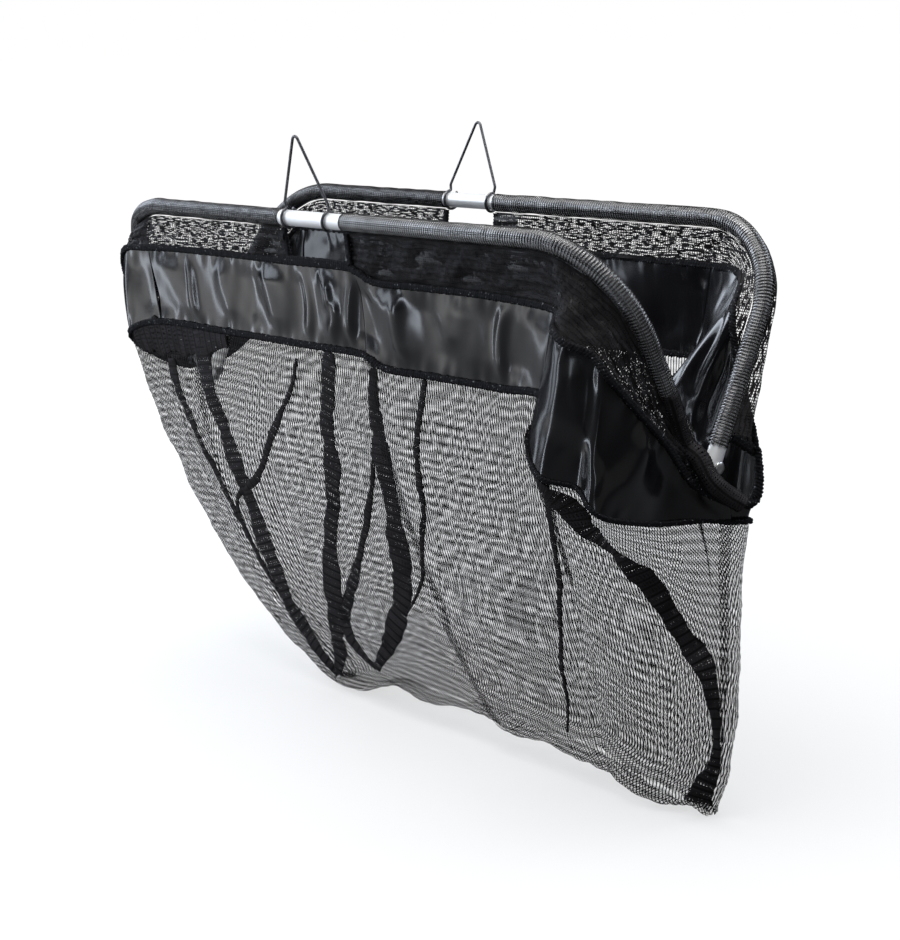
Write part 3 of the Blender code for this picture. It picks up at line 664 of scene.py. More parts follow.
class Graph:
    """A short way to build a material's nodes."""

    def __init__(self, name):
        self.material = bpy.data.materials.new(name)
        self.material.use_nodes = True
        self.tree = self.material.node_tree
        self.shader = self.tree.nodes["Principled BSDF"]

    def node(self, kind, *inputs, output=0, named=None, **settings):
        """A new node's output: inputs go in by order, named ones by name, and settings are the node's own."""
        made = self.tree.nodes.new(kind)
        for key, value in settings.items():
            setattr(made, key, value)
        by_name = [(made.inputs[key], value) for key, value in (named or {}).items()]
        for socket, value in (*zip(made.inputs, inputs), *by_name):
            self.put(socket, value)
        return made.outputs[output]

    def put(self, socket, value):
        """Links an output to a socket, or sets its value."""
        if isinstance(value, bpy.types.NodeSocket):
            self.tree.links.new(value, socket)
        elif value is not None:
            socket.default_value = value

    def put_colour(self, socket, value):
        """As put, but a tuple is a colour and gets its fourth number."""
        self.put(socket, (*value, 1.0) if isinstance(value, tuple) else value)

    def math(self, operation, *inputs):
        return self.node("ShaderNodeMath", *inputs, operation=operation)

    def map_range(self, value, low, high, to_low=0.0, to_high=1.0):
        return self.node("ShaderNodeMapRange", value, low, high, to_low, to_high)

    def uv(self):
        return self.node("ShaderNodeUVMap", uv_map="cloth")

    def object_place(self):
        return self.node("ShaderNodeTexCoord", output=3)

    def apart(self, vector):
        """A place's x and y."""
        return [self.node("ShaderNodeSeparateXYZ", vector, output=k) for k in (0, 1)]

    def scaled(self, vector, scale):
        """A place multiplied by scale each way."""
        return self.node("ShaderNodeMapping", vector, None, None, scale)

    def noise(self, vector, scale, detail=2.0, rough=0.5):
        named = {"Vector": vector, "Scale": scale, "Detail": detail, "Roughness": rough}
        return self.node("ShaderNodeTexNoise", named=named)

    def mix(self, share, a, b):
        """The colour a at share 0 and b at 1."""
        made = self.tree.nodes.new("ShaderNodeMix")
        made.data_type = "RGBA"
        for name, value in (("Factor_Float", share), ("A_Color", a), ("B_Color", b)):
            self.put_colour(next(s for s in made.inputs if s.identifier == name), value)
        return next(s for s in made.outputs if s.identifier == "Result_Color")

    def bump(self, height, distance, strength=1.0):
        named = {"Height": height, "Distance": distance, "Strength": strength}
        return self.node("ShaderNodeBump", named=named)

    def finish(self, **inputs):
        """Sets the shader's own inputs by name, and gives the material."""
        for name, value in inputs.items():
            self.put_colour(self.shader.inputs[name.replace("_", " ")], value)
        return self.material


def made_once(make):
    """A material that is made on its first use, under its function's own name."""
    return lambda: bpy.data.materials.get(make.__name__) or make(Graph(make.__name__))


@made_once
def satin_tube(g):
    """Drawn aluminium, satin, with fine lines along the tube and a faint clouding."""
    place, colour = g.object_place(), colours().tube
    lines = g.noise(g.scaled(place, (40.0, 900.0, 900.0)), 1.0, 3.0)
    tint = g.mix(g.map_range(g.noise(place, 60.0), 0.3, 0.7), tinted(colour, 0.93), tinted(colour))
    return g.finish(Base_Color=tint, Metallic=0.25, Roughness=g.map_range(lines, 0.2, 0.8, 0.26, 0.38),
                    Normal=g.bump(lines, 0.00003, 0.6))


@made_once
def dark_wire(g):
    """Dark spring wire, with slight draw marks and worn spots."""
    grain, colour = g.noise(g.object_place(), 700.0, 3.0), colours().wire
    tint = g.mix(g.map_range(grain, 0.45, 0.75), tinted(colour), tinted(colour, 2.2))
    return g.finish(Base_Color=tint, Metallic=1.0, Roughness=g.map_range(grain, 0.2, 0.8, 0.3, 0.5))


@made_once
def steel_rivet(g):
    """Turned steel head with fine scratches."""
    scratches = g.noise(g.scaled(g.object_place(), (2500.0, 300.0, 300.0)), 1.0, 3.0)
    return g.finish(Base_Color=(0.5, 0.5, 0.5), Metallic=1.0, Normal=g.bump(scratches, 0.00003, 0.5),
                    Roughness=g.map_range(scratches, 0.2, 0.8, 0.25, 0.45))


@made_once
def nylon_spacer(g):
    """Moulded black nylon."""
    grain = g.noise(g.object_place(), 2500.0)
    return g.finish(Base_Color=(0.02, 0.02, 0.02), Roughness=g.map_range(grain, 0.3, 0.7, 0.45, 0.6),
                    Normal=g.bump(grain, 0.00002, 0.5))


@made_once
def black_vinyl(g):
    """Black soft vinyl: glossy, with a fine grain, faint clouding and small dents that break highlights."""
    place, colour = g.uv(), colours().vinyl
    dents, grain, cloud = g.noise(place, 55.0, 3.0, 0.45), g.noise(place, 1400.0), g.noise(place, 14.0)
    height = g.math("ADD", dents, g.math("MULTIPLY", grain, 0.02))
    tint = g.mix(g.map_range(cloud, 0.3, 0.7), tinted(colour), tinted(colour, 1.6))
    return g.finish(Base_Color=tint, Roughness=g.map_range(cloud, 0.3, 0.7, 0.13, 0.21),
                    Specular_IOR_Level=0.55, Normal=g.bump(height, 0.0007, 0.2))


@made_once
def overlock_thread(g):
    """Overlocked thread: matt black twist with pale specks painted into its colour as glints where it catches light.
    """
    place = g.object_place()
    twist, painted_glints = g.noise(place, 1500.0, 3.0, 0.6), g.noise(place, 620.0)
    # Painted glints: pale specks in the thread's colour, standing in for light caught by the twist
    tint = g.mix(g.map_range(painted_glints, 0.68, 0.73), tinted(colours().thread), (0.32, 0.34, 0.37))
    return g.finish(Base_Color=tint, Roughness=0.7, Specular_IOR_Level=0.15, Normal=g.bump(twist, 0.0006))


@made_once
def pale_floor(g):
    """A pale floor, white to the camera. In reflections and bounced light it is dim, with a soft round glow painted on
    it there: a painted reflection, no lamp.
    """
    place, seen, colour = g.object_place(), g.node("ShaderNodeLightPath"), colours().floor
    tint = g.mix(g.noise(place, 3.0), tinted(colour), tinted(colour, 0.985))
    # Painted shade: off camera the floor takes its darker colour for reflections and bounced light
    tint = g.mix(seen, FLOOR_IN_GLOSS, tint)
    x, y = g.apart(place)
    far = g.math("ADD", g.math("MULTIPLY", x, x), g.math("MULTIPLY", y, y))
    fall = g.math("POWER", g.math("ADD", 1.0, g.math("DIVIDE", far, TOP_LAMP_REACH)), 2.0)
    # Painted glow, weaker under the top lamp so that glow and lamp light add up to an even white
    glow = g.math("SUBTRACT", FLOOR_GLOW, g.math("DIVIDE", TOP_LAMP_GLOW, fall))
    aside = [g.math("DIVIDE", g.math("SUBTRACT", axis, centre), PAINTED_REFLECTION_REACH)
             for axis, centre in zip((x, y), PAINTED_REFLECTION_CENTRE)]
    spread = g.math("ADD", *(g.math("MULTIPLY", part, part) for part in aside))
    # Painted reflection: the round glow, given only to rays that are not the camera's
    painted_reflection = g.math("DIVIDE", PAINTED_REFLECTION_GLOW, g.math("POWER", g.math("ADD", 1.0, spread), 3.0))
    unseen = g.math("SUBTRACT", 1.0, seen)
    glow = g.math("ADD", g.math("MULTIPLY", glow, seen), g.math("MULTIPLY", painted_reflection, unseen))
    return g.finish(Base_Color=tint, Roughness=0.9, Specular_IOR_Level=0.0, Emission_Color=WHITE,
                    Emission_Strength=glow)


# Each netting: how light it is, its pitch each way in thread pitches, a thread's share of it each way, how
# far apart closer rows lie in millimetres and how much closer they are, how much is closed, specular and
# roughness, and how far the rows wander within patches of how many millimetres
EVEN, CRUMPLED = (5.0, 80.0), (15.0, 24.0)
NETTINGS = {
    "fine_netting": (1.0, (1.32, 0.4), (0.34, 0.3), (7.4, 0.13), 0.0, (0.1, 0.6), EVEN),
    "far_netting": (1.0, (1.32, 0.4), (0.34, 0.26), (7.4, 0.05), 0.0, (0.1, 0.6), EVEN),
    "strip_netting": (1.0, (1.1, 0.7), (0.36, 0.42), (3.7, 0.1), 0.515, (0.1, 0.6), CRUMPLED),
    "double_netting": (1.0, (1.0, 0.8), (0.5, 0.52), (3.7, 0.12), 0.42, (0.3, 0.4), CRUMPLED),
    "dense_netting": (1.5, (1.0, 1.0), (0.66, 0.68), (7.4, 0.2), 0.38, (0.08, 0.6), EVEN),
    "smooth_sleeve": (1.0, None, (0.6, 0.5), (5.0, 0.1), 0.43, (0.25, 0.35), EVEN),
    "ribbed_sleeve": (1.0, None, (0.54, 0.32), (5.0, 0.1), 0.0, (0.9, 0.2), EVEN),
}
SLEEVE_COURSE = 1.3


def netting(name):
    """A knitted netting on the cloth's own map, made once: threads both ways with holes between, cut out of
    the surface. A sleeve's pitch is its ribs'."""
    made = bpy.data.materials.get(name)
    if made:
        return made
    light, threads, cover, rows, closed, gloss, (drift, cell) = NETTINGS[name]
    pitch = (sizes().rib_pitch / MM, SLEEVE_COURSE)
    if threads:
        pitch = [share * (sizes().thread_pitch / MM) for share in threads]
    g, colour = Graph(name), tinted(colours().netting, light)
    place = g.uv()
    wobble, wander = g.noise(place, 70.0), g.noise(place, 1.0 / (cell * MM))
    x, y = g.apart(place)
    shift = g.math("MULTIPLY", g.math("SUBTRACT", wobble, 0.5), pitch[0] * MM * 0.22)
    across, down = (g.math("PINGPONG", g.math("DIVIDE", g.math("ADD", axis, shift), size * MM), 0.5)
                    for axis, size in zip((x, y), pitch))
    phase = g.math("DIVIDE", y, rows[0] * MM / TURN)
    wave = g.math("SINE", g.math("ADD", phase, g.math("MULTIPLY", wander, drift)))
    wale = g.math("LESS_THAN", across, cover[0] / 2)
    course = g.math("LESS_THAN", down, g.math("ADD", cover[1] / 2, g.math("MULTIPLY", wave, rows[1])))
    thread = g.math("MAXIMUM", wale, course)
    if closed:
        patches = g.noise(g.scaled(place, (140.0, 700.0, 1.0)), 1.0)
        thread = g.math("MAXIMUM", thread, g.math("LESS_THAN", patches, closed))
    tint = g.mix(g.map_range(wobble, 0.35, 0.65), colour, tinted(colour, 1.9))
    tint = g.mix(g.map_range(wave, 0.55, 0.9), tint, tinted(colour, 0.5))
    height = g.math("SUBTRACT", 1.0, g.math("MINIMUM", across, down))
    return g.finish(Base_Color=tint, Roughness=gloss[1], Specular_IOR_Level=gloss[0], Alpha=thread,
                    Normal=g.bump(height, 0.0004, 0.5))


# Settings


class WeighNetSizes(bpy.types.PropertyGroup):
    """Sizes that a user would change"""

    thread_pitch: FloatProperty(name="Thread pitch", description="Distance between the netting's threads",
                                default=1.9 * MM, unit="LENGTH")
    vinyl_thick: FloatProperty(name="Band thickness", description="Thickness of the vinyl band",
                               default=0.8 * MM, unit="LENGTH")
    fold_depth: FloatProperty(name="Fold depth", description="Height of the band's soft folds",
                              default=1.7 * MM, unit="LENGTH")
    rib_pitch: FloatProperty(name="Rib pitch", description="Distance between the ribs of a sleeve",
                             default=2.3 * MM, unit="LENGTH")
    stitch_pitch: FloatProperty(name="Stitch pitch", description="Distance between overlock stitches",
                                default=2.4 * MM, unit="LENGTH")


class WeighNetColours(bpy.types.PropertyGroup):
    """Colours that a user would change"""

    tube: FloatVectorProperty(name="Tube", description="Aluminium", default=(0.92, 0.93, 0.94),
                              subtype="COLOR")
    wire: FloatVectorProperty(name="Wire", description="Hanger wire", default=(0.09, 0.09, 0.095),
                              subtype="COLOR")
    vinyl: FloatVectorProperty(name="Band", description="Vinyl", default=(0.006, 0.006, 0.007),
                               subtype="COLOR")
    netting: FloatVectorProperty(name="Netting", description="Mesh thread", default=(0.012, 0.011, 0.012),
                                 subtype="COLOR")
    thread: FloatVectorProperty(name="Thread", description="Overlock thread", default=(0.008, 0.008, 0.01),
                                subtype="COLOR")
    floor: FloatVectorProperty(name="Floor", description="Floor", default=(0.38, 0.38, 0.38), subtype="COLOR")


def sizes():
    """The sizes that are set in the panel."""
    return bpy.context.scene.weigh_net_sizes


def colours():
    """The colours that are set in the panel."""
    return bpy.context.scene.weigh_net_colours


# How pieces move


def place_blend(made, side, start, end):
    """A piece goes from its half frame at start to the wall that hangs from it at end."""
    start, end = (tuple(to_world(place)[0]) for place in (start, end))
    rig.blend(made, f"{SIDES[side]}_half", f"{SIDES[side]}_wall", start=start, end=end)


def move_cloth(made, side, end):
    """A long wall's cloth hangs from its bar; an end's cloth blends from the half frame to that wall, by a
    share that grows evenly from the hinge."""
    if not end:
        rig.ride(made, f"{SIDES[side]}_wall")
        return
    slope = np.array((0.0, side * SHARE_OUT, -SHARE_DOWN))
    run = slope / (slope @ slope)
    place_blend(made, side, -SHARE_AT_HINGE * run, (1 - SHARE_AT_HINGE) * run)


def strip_pieces(name, span, end):
    """A strip's pieces, each with its place and how it moves: a leg's strip has a shoulder beside the wall's
    strip, which drops straight from the bar."""
    if not end:
        return [(name, span, "wall")]
    low, high = span
    leg = "left_leg" if low >= LEFT_START else "right_leg"
    if low in SHOULDERS:
        middle = low + SHOULDERS[low]
        how = "front_shoulder" if low == RIGHT_START else "shoulder"
        return [(f"{name}_shoulder", (low, middle), how), (name, (middle, high), leg)]
    middle = high - SHOULDERS[high]
    return [(name, (low, middle), leg), (f"{name}_shoulder", (middle, high), "shoulder")]


def move_strip(made, side, how):
    """A leg's strip keeps its top on the tube and follows the wall below; a shoulder does so by height."""
    if how == "wall":
        move_cloth(made, side, False)
    elif how == "shoulder":
        place_blend(made, side, (0.0, 0.0, SHOULDER_TOP), (0.0, 0.0, SHOULDER_LOW))
    else:
        square = np.array((0.0, side * math.cos(ANGLE), -math.sin(ANGLE)))
        place_blend(made, side, STRIP_FROM * square, (STRIP_FROM + STRIP_REACH[how]) * square)


def dress(made, material, slot, *replaced):
    """Gives a piece its material and slot, and says which of the frame's nodes it stands for."""
    made.data.materials.append(material)
    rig.slot(made, slot)
    if replaced:
        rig.replaces(made, *replaced)


# Reliefs: heights over the cloth, from x millimetres round the net and y down the piece

# The band's folds: each a line across it (round, down) to (round, down) in millimetres, its width and height
BAND_FOLDS = (
    (48.0, 2.0, 54.0, 64.0, 5.0, 2.0),
    (100.0, 0.0, 94.0, 50.0, 8.0, 1.2),
    (150.0, 8.0, 160.0, 62.0, 9.0, 1.5),
    (203.0, 0.0, 198.0, 60.0, 6.0, 2.4),
    (222.0, 0.0, 232.0, 30.0, 5.0, 2.6),
    (236.0, 30.0, 226.0, 66.0, 6.0, 2.2),
    (256.0, 0.0, 250.0, 66.0, 5.0, 2.6),
    (306.0, 0.0, 312.0, 60.0, 7.0, 2.0),
    (352.0, 2.0, 358.0, 40.0, 8.0, 1.6),
    (420.0, 0.0, 408.0, 66.0, 6.0, 2.8),
    (520.0, 0.0, 545.0, 66.0, 12.0, 1.8),
    (600.0, 4.0, 585.0, 66.0, 9.0, 1.6),
    (745.0, 0.0, 735.0, 66.0, 8.0, 3.6),
    (780.0, 66.0, 800.0, 0.0, 10.0, 4.4),
    (836.0, 10.0, 806.0, 60.0, 9.0, 4.4),
    (900.0, 0.0, 870.0, 66.0, 9.0, 3.4),
    (985.0, 0.0, 1000.0, 66.0, 8.0, 2.2),
    (1090.0, 0.0, 1080.0, 66.0, 6.0, 1.8),
    (1180.0, 66.0, 1190.0, 0.0, 7.0, 2.0),
)
FOLD_SWAY, PUCKER = 2.4, 0.25


def band_relief(x, y):
    """Soft waves, ridges along lines across the band, and puckers that the stitching draws at both edges."""
    inside = np.minimum(y, BAND_DEPTH - y)
    depth = sizes().fold_depth / MM
    height = depth * 0.9 * waves(x, y, 48.0, 11, 0.6) + 0.1 * waves(x, y, 17.0, 12, 0.5)
    for x0, y0, x1, y1, width, lift in BAND_FOLDS:
        run = np.hypot(x1 - x0, y1 - y0)
        t = ((x - x0) * (x1 - x0) + (y - y0) * (y1 - y0)) / run**2
        off = ((x - x0) * (y1 - y0) - (y - y0) * (x1 - x0)) / run + FOLD_SWAY * np.sin(5.0 * t + x0)
        height = height + lift * near(off, width) * near(np.clip(np.abs(t - 0.5) - 0.35, 0.0, None), 0.22)
    return height * smooth(inside / 20.0) + PUCKER * near(inside, 12.0) * waves(x + 0.3 * y, 0 * y, 10.0, 13)


def net_relief(x, y):
    """Soft hang of the netting: long waves that grow away from the band, drawn out downwards, and ripples."""
    grow = np.clip(y / 60.0, 0.0, 1.0)
    return grow * (2.4 * waves(x, y, 120.0, 21, 0.75) + 0.8 * waves(x, y, 34.0, 22, 0.5)
                   + 0.35 * waves(x * 0.25, y, 9.0, 23))


def strip_relief(x, y):
    """Crumpled netting between the tube and the band: ripples drawn out along the strip."""
    edge = np.clip(np.minimum(y, STRIP_DEPTH - y) / 6.0, 0.0, 1.0)
    return edge * (0.9 * waves(x * 0.3, y, 9.0, 31) + 0.9 * waves(x, y, 30.0, 32)
                   + 0.5 * waves(x, y, 7.0, 33, 0.3))


def fold_relief(x, y):
    """The second layer's own crumples, behind the first layer."""
    return strip_relief(x + 37.0, y) * 0.8 - 1.6


def lifted(relief, span, lift):
    """The relief with a lift that fades from where a piece lies over or under its neighbour: its start, or
    its end at the left split."""
    place = round_mm(span[1] if span[0] == LEFT_START else span[0])
    return lambda x, y: relief(x, y) + lift * fading(x, place)


def panel(name, u, v, relief, side, thick=0.0, rests_on=None, held="hung"):
    """A piece of the cloth: the surface on a grid, raised along its normals by its relief, made a sheet. The
    sheet's flat size is its greatest width and length along the surface, and its area that of its faces."""
    points = cloth(u, v)
    height = relief(round_mm(u)[:, None], lengths(points)[1])
    points = points + grid_normals(points) * height[..., None]
    made = sheet_of(name, points, thick)
    flat_x, flat_y = lengths(points)
    start, a, b, end = points[:-1, :-1], points[1:, :-1], points[:-1, 1:], points[1:, 1:]
    halves = (np.cross(a - start, b - start), np.cross(a - end, b - end))
    area = float(sum(np.linalg.norm(half, axis=2).sum() for half in halves) / 2) * MM * MM
    width, length = float(np.ptp(flat_x, axis=0).max()) * MM, float(flat_y[:, -1].max()) * MM
    sheet = {"flat": (width, length), "area": min(area, width * length), "held": held,
             "rests_on": [rests_on or f"{SIDES[side]}_tube"]}
    return made, sheet


class MakeTubes(bpy.types.Operator):
    """Both bent tubes: a circle carried along the frame's centreline, hollow, with plain cut ends"""

    bl_idname = "weigh_net.tubes"
    bl_label = "Tubes"

    def execute(self, context):
        end = along_at(-LEG_OVERHANG)
        for side, name in SIDES.items():
            path = frame_line(side, np.linspace(-end, end, TUBE_STEPS))
            radii = (TUBE_RADIUS, TUBE_RADIUS - TUBE_WALL)
            made = hollow_tube(f"{name}_tube", path, square_to_half(side), *radii, TUBE_SIDES)
            dress(made, satin_tube(), "tube", f"{name}_frame")
            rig.ride(made, f"{name}_half")
        return {"FINISHED"}


class MakeRivets(bpy.types.Operator):
    """Hinge rivets with domed heads and the nylon spacers between the legs, turned about the hinge axis"""

    bl_idname = "weigh_net.rivets"
    bl_label = "Rivets and spacers"

    def execute(self, context):
        dome = np.linspace(0.0, 1.0, 9)
        depth, radius = -HEAD_HEIGHT * np.cos(dome * HEAD_DOME), HEAD_RADIUS * np.sin(dome * QUARTER)
        rim = [(-HEAD_RIM, HEAD_RADIUS), (0.0, HEAD_RADIUS - HEAD_RIM), (0.0, PIN_RADIUS)]
        head = np.concatenate([np.stack([depth, radius], axis=1), rim])
        half, bore, edge = TUBE_RADIUS + GAP, PIN_RADIUS + SPACER_PLAY, TUBE_RADIUS - SPACER_EDGE
        for direction, name in ((-1, "left"), (1, "right")):
            front, rear = (MIDDLES[side] + direction * HALF_BAR for side in SIDES)
            last = head[::-1] * (-1.0, 1.0) + (rear + half, 0.0)
            made = turned(f"rivet_{name}", np.concatenate([head + (front - half, 0.0), last]))
            dress(made, steel_rivet(), "wire", f"hinge_pin_{name}")
            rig.ride(made, "hinge")
            low, high = front + half, rear - half
            ring = ((low, bore), (low, edge), (low + SPACER_EDGE, TUBE_RADIUS),
                    (high - SPACER_EDGE, TUBE_RADIUS), (high, edge), (high, bore))
            made = turned(f"spacer_{name}", ring)
            dress(made, nylon_spacer(), "spacer", f"hinge_washer_{name}")
            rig.ride(made, "hinge")
        return {"FINISHED"}


def hanger_path(side):
    """One wire from eye to eye: a turn round the bar, a leg, the round top, a leg and a turn. With it goes
    the direction that its section is turned from."""
    up = np.array((0.0, side * math.sin(HANGER_LEAN), math.cos(HANGER_LEAN)))
    across = np.array((0.0, math.cos(HANGER_LEAN), -side * math.sin(HANGER_LEAN)))
    right = np.array((1.0, 0.0, 0.0))
    bar = half_point(side, 0.0, LEG_LENGTH) + (HANGER_X[side], 0, 0)
    wrap, half = TUBE_RADIUS + GAP + WIRE_RADIUS, HANGER_WIDTH / 2
    steps = np.linspace(-1.0, 0.0, EYE_STEPS)[:, None]
    pitch = 2 * WIRE_RADIUS + EYE_GAP
    ring = wrap * (np.cos(steps * EYE_WRAP) * up + np.sin(steps * EYE_WRAP) * across)
    eyes = [bar + ring + end * (half + pitch * steps) * right for end in (-1, 1)]
    knee = wrap + HANGER_KNEE
    bend = math.atan((half - HANGER_FOOT) / (HANGER_HEIGHT - knee))
    over = np.linspace(-(QUARTER - bend), QUARTER - bend, LEG_STEPS)[:, None]
    centre = bar + (HANGER_HEIGHT - HANGER_TOP_RADIUS) * up
    top = centre + HANGER_TOP_RADIUS * (np.sin(over) * right + np.cos(over) * up)
    feet = [bar + end * (half + HANGER_FOOT) * right + knee * up for end in (-1, 1)]
    share = np.linspace(0.0, 1.0, LEG_STEPS)[:, None]
    legs = [feet[0] + (top[0] - feet[0]) * share, top[-1] + (feet[1] - top[-1]) * share]
    path = np.concatenate([eyes[0], legs[0], top[1:-1], legs[1], eyes[1][::-1]])
    still = np.zeros((EYE_STEPS, 1))
    turning = np.concatenate([still, share, np.ones((LEG_STEPS - 2, 1)), share[::-1], still])
    return path, unit(right * (1 - turning) + across * turning)


class MakeHangers(bpy.types.Operator):
    """Both wire hangers: a round wire carried along one line from eye to eye"""

    bl_idname = "weigh_net.hangers"
    bl_label = "Hangers"

    def execute(self, context):
        for side, name in SIDES.items():
            path, reference = eased(*hanger_path(side), WIRE_STEP, 5)
            made = swept(f"{name}_wire", path, WIRE_RADIUS, reference, WIRE_SIDES)
            dress(made, dark_wire(), "wire", f"{name}_hanger")
            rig.ride(made, f"{name}_hanger_wire")
        return {"FINISHED"}


class MakeSleeves(bpy.types.Operator):
    """Netting drawn over the tubes: a ribbed skin round the centreline, its ribs higher at the right"""

    bl_idname = "weigh_net.sleeves"
    bl_label = "Sleeves"

    def execute(self, context):
        pitch = sizes().rib_pitch / MM
        turn = turns(SLEEVE_SIDES)[None, :]
        for side, name in SIDES.items():
            for direction, end in ((-1, "left"), (1, "right")):
                edge = GAPS[side][(direction + 1) // 2] - MIDDLES[side]
                start, stop = sorted((edge, direction * along_at(SLEEVE_ENDS[side, direction])))
                along = np.arange(start, stop, pitch / 6)
                run = along[:, None]
                rib = np.abs(np.sin(math.pi * (run + 0.5 * waves(run, 5 * turn, 30.0, 41)) / pitch))
                uneven = SLEEVE_UNEVEN * waves(run, 12 * turn, 26.0, 42, 0.4)
                radius = TUBE_RADIUS + GAP + SLEEVE_UNDER + RIB_HEIGHTS[direction] * rib + uneven
                made = swept(f"{name}_{end}_cover", frame_line(side, along), radius, square_to_half(side),
                             SLEEVE_SIDES)
                material = netting("ribbed_sleeve" if direction > 0 else "smooth_sleeve")
                dress(made, material, "sleeve", f"{name}_{end}_sleeve")
                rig.ride(made, f"{name}_half")
        return {"FINISHED"}


# Each strip, and each place where the strips' netting lies double: name, place round the net, side, whether
# it is at an end
STRIPS = (
    ("front_left_strip", (0.0, FRONT_GAP_U[0]), -1, False),
    ("front_right_strip", (FRONT_GAP_U[1], RIGHT_START), -1, False),
    ("rear_right_strip", (REAR_START, REAR_GAP_U[0]), 1, False),
    ("rear_left_strip", (REAR_GAP_U[1], LEFT_START), 1, False),
    ("front_right_leg_strip", (RIGHT_START, RIGHT_STRIP_END), -1, True),
    ("rear_right_leg_strip", (REAR_STRIP_START, REAR_START), 1, True),
    ("rear_left_leg_strip", (LEFT_START, LEFT_STRIP_END), 1, True),
    ("front_left_leg_strip", (FRONT_STRIP_START, LEFT_END_U), -1, True),
)
DOUBLED = (
    ("front_left_corner_fold", (FRONT_STRIP_START, LEFT_END_U), -1, True),
    ("front_left_notch_fold", (1.66, FRONT_GAP_U[0]), -1, False),
    ("front_right_fold", (FRONT_GAP_U[1], RIGHT_START), -1, False),
    ("front_right_leg_fold", (RIGHT_START, RIGHT_STRIP_END), -1, True),
    ("rear_notch_fold", (REAR_START + 2.6, REAR_GAP_U[0]), 1, False),
)
# How far a leg's shoulder reaches from the wall's strip, in columns
SHOULDERS = {RIGHT_START: 1.5, REAR_START: 0.8, LEFT_START: 0.6, LEFT_END_U: 0.6}
FLAP_FROM, FLAP_TO, FLAP_WIDE, FLAP_THIN, FLAP_BOW = 24.0, 168.0, 15.0, 0.6, 3.0
FLAP_TAPER_FROM, FLAP_TAPER, FLAP_RUN, FLAP_FLAT = 10.0, 140.0, 0.144, 0.15
GATHER_SIDES, GATHER_RIBS, GATHER_TAPER = 28, 40, 1.2
GATHER_FIXED, GATHER_HUNG = (0.0, -5.0, 8.0), (0.0, 35.0, -100.0)


def hang_strips(table, suffix, relief, material, replaces):
    """The strips of a table, each cut at its shoulder and hung from its tube."""
    rows = np.linspace(TOP, SEAM, STRIP_ROWS)
    for node, whole, side, end in table:
        for name, span, how in strip_pieces(node, whole, end):
            u = spaced(span[0], span[1] - JUST, STRIP_STEP)
            made, sheet = panel(name + suffix, u, rows, relief, side, held="gathered")
            dress(made, netting(material), "netting", *([node] if replaces else []))
            move_strip(made, side, how)
            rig.sheet(made, **sheet)


def flap_points(count=70, rows=12):
    """The flap outside the right rear leg: from the tube outwards, wider towards the hinge."""
    back = np.linspace(FLAP_FROM, FLAP_TO, count)
    share = np.linspace(0.0, 1.0, rows)
    width = FLAP_WIDE * (1 - smooth((back - FLAP_TAPER_FROM) / FLAP_TAPER)) + FLAP_THIN
    width = width + 0.3 * waves(back, 0 * back, 18.0, 71)
    out = SLEEVE_OUTER + STRIP_CLEARANCE + width[:, None] * share[None, :]
    bow = FLAP_BOW * np.sin(math.pi * share)[None, :, None] * np.array((0.0, 1.0, 0.0))
    return frame_line(1, along_at(back))[:, None] + out[..., None] * np.array((1.0, 0, 0)) + bow


def roll_line():
    """The gathered roll of strip and sleeve that closes the front leg's end at the right hinge."""
    start, middle = frame_line(-1, along_at(np.array((60.0, 20.0))))
    leg = np.array((MIDDLES[-1] + HALF_BAR, 0.0, 0.0))
    onward = ((14.0, -12.0, 8.0), (22.0, -11.0, -5.0), (29.0, -4.0, -15.0), (37.0, 6.0, -24.0))
    return smooth_line([start, middle + (2.0, -4.0, 0.0), *(leg + point for point in onward)], 120)


class MakeStrips(bpy.types.Operator):
    """The strips of netting between the tubes and the band, crumpled, with their doubled places, the flap at
    the rear leg and the gathered roll at the right hinge"""

    bl_idname = "weigh_net.strips"
    bl_label = "Strips"

    def execute(self, context):
        hang_strips(STRIPS, "_net", strip_relief, "strip_netting", True)
        points = flap_points()
        made = sheet_of("rear_right_flap", points)
        dress(made, netting("strip_netting"), "netting")
        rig.ride(made, "rear_half")
        deep = lengths(points)[1]
        area = FLAP_RUN * float(deep[:, -1].mean()) * MM
        flat = (FLAP_FLAT, float(deep.max()) * MM)
        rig.sheet(made, flat=flat, area=area, held="hung", rests_on=["rear_tube"])
        line = roll_line()
        run = np.linspace(0.0, 1.0, len(line))[:, None]
        turn = turns(GATHER_SIDES)
        ribs = 0.5 * np.abs(np.sin(math.pi * run * GATHER_RIBS)) + 0.3 * waves(90 * run, 7 * turn, 14.0, 81)
        radius = SLEEVE_OUTER - GATHER_TAPER * run + ribs
        made = swept("right_hinge_gather", line, radius, np.array((0.0, 1.0, 0.3)), GATHER_SIDES)
        dress(made, netting("dense_netting"), "netting")
        place_blend(made, -1, GATHER_FIXED, GATHER_HUNG)
        hang_strips(DOUBLED, "", fold_relief, "double_netting", False)
        return {"FINISHED"}


# The cloth's parts round the net: name, start, end, how far it goes on under its neighbours before and after,
# side, what it belongs to, whether that is an end, lift over the neighbour
PARTS = (
    ("front_left", 0.0, OVERLAP_U, 0.0, 0.25, -1, "front", False, 0.0),
    ("front_right", OVERLAP_U, RIGHT_START, 0.0, 0.0, -1, "front", False, 2.0),
    ("right_front", RIGHT_START, RIGHT_SPLIT, 0.0, 0.3, -1, "right_end", True, 0.0),
    ("right_rear", RIGHT_SPLIT, REAR_START, 0.2, 0.0, 1, "right_end", True, -1.4),
    ("rear", REAR_START, LEFT_START, 0.0, 0.0, 1, "rear", False, 0.0),
    ("left_rear", LEFT_START, LEFT_SPLIT, 0.0, 0.15, 1, "left_end", True, -1.4),
    ("left_front", LEFT_SPLIT, LEFT_END_U, 0.15, 0.0, -1, "left_end", True, 0.0),
)


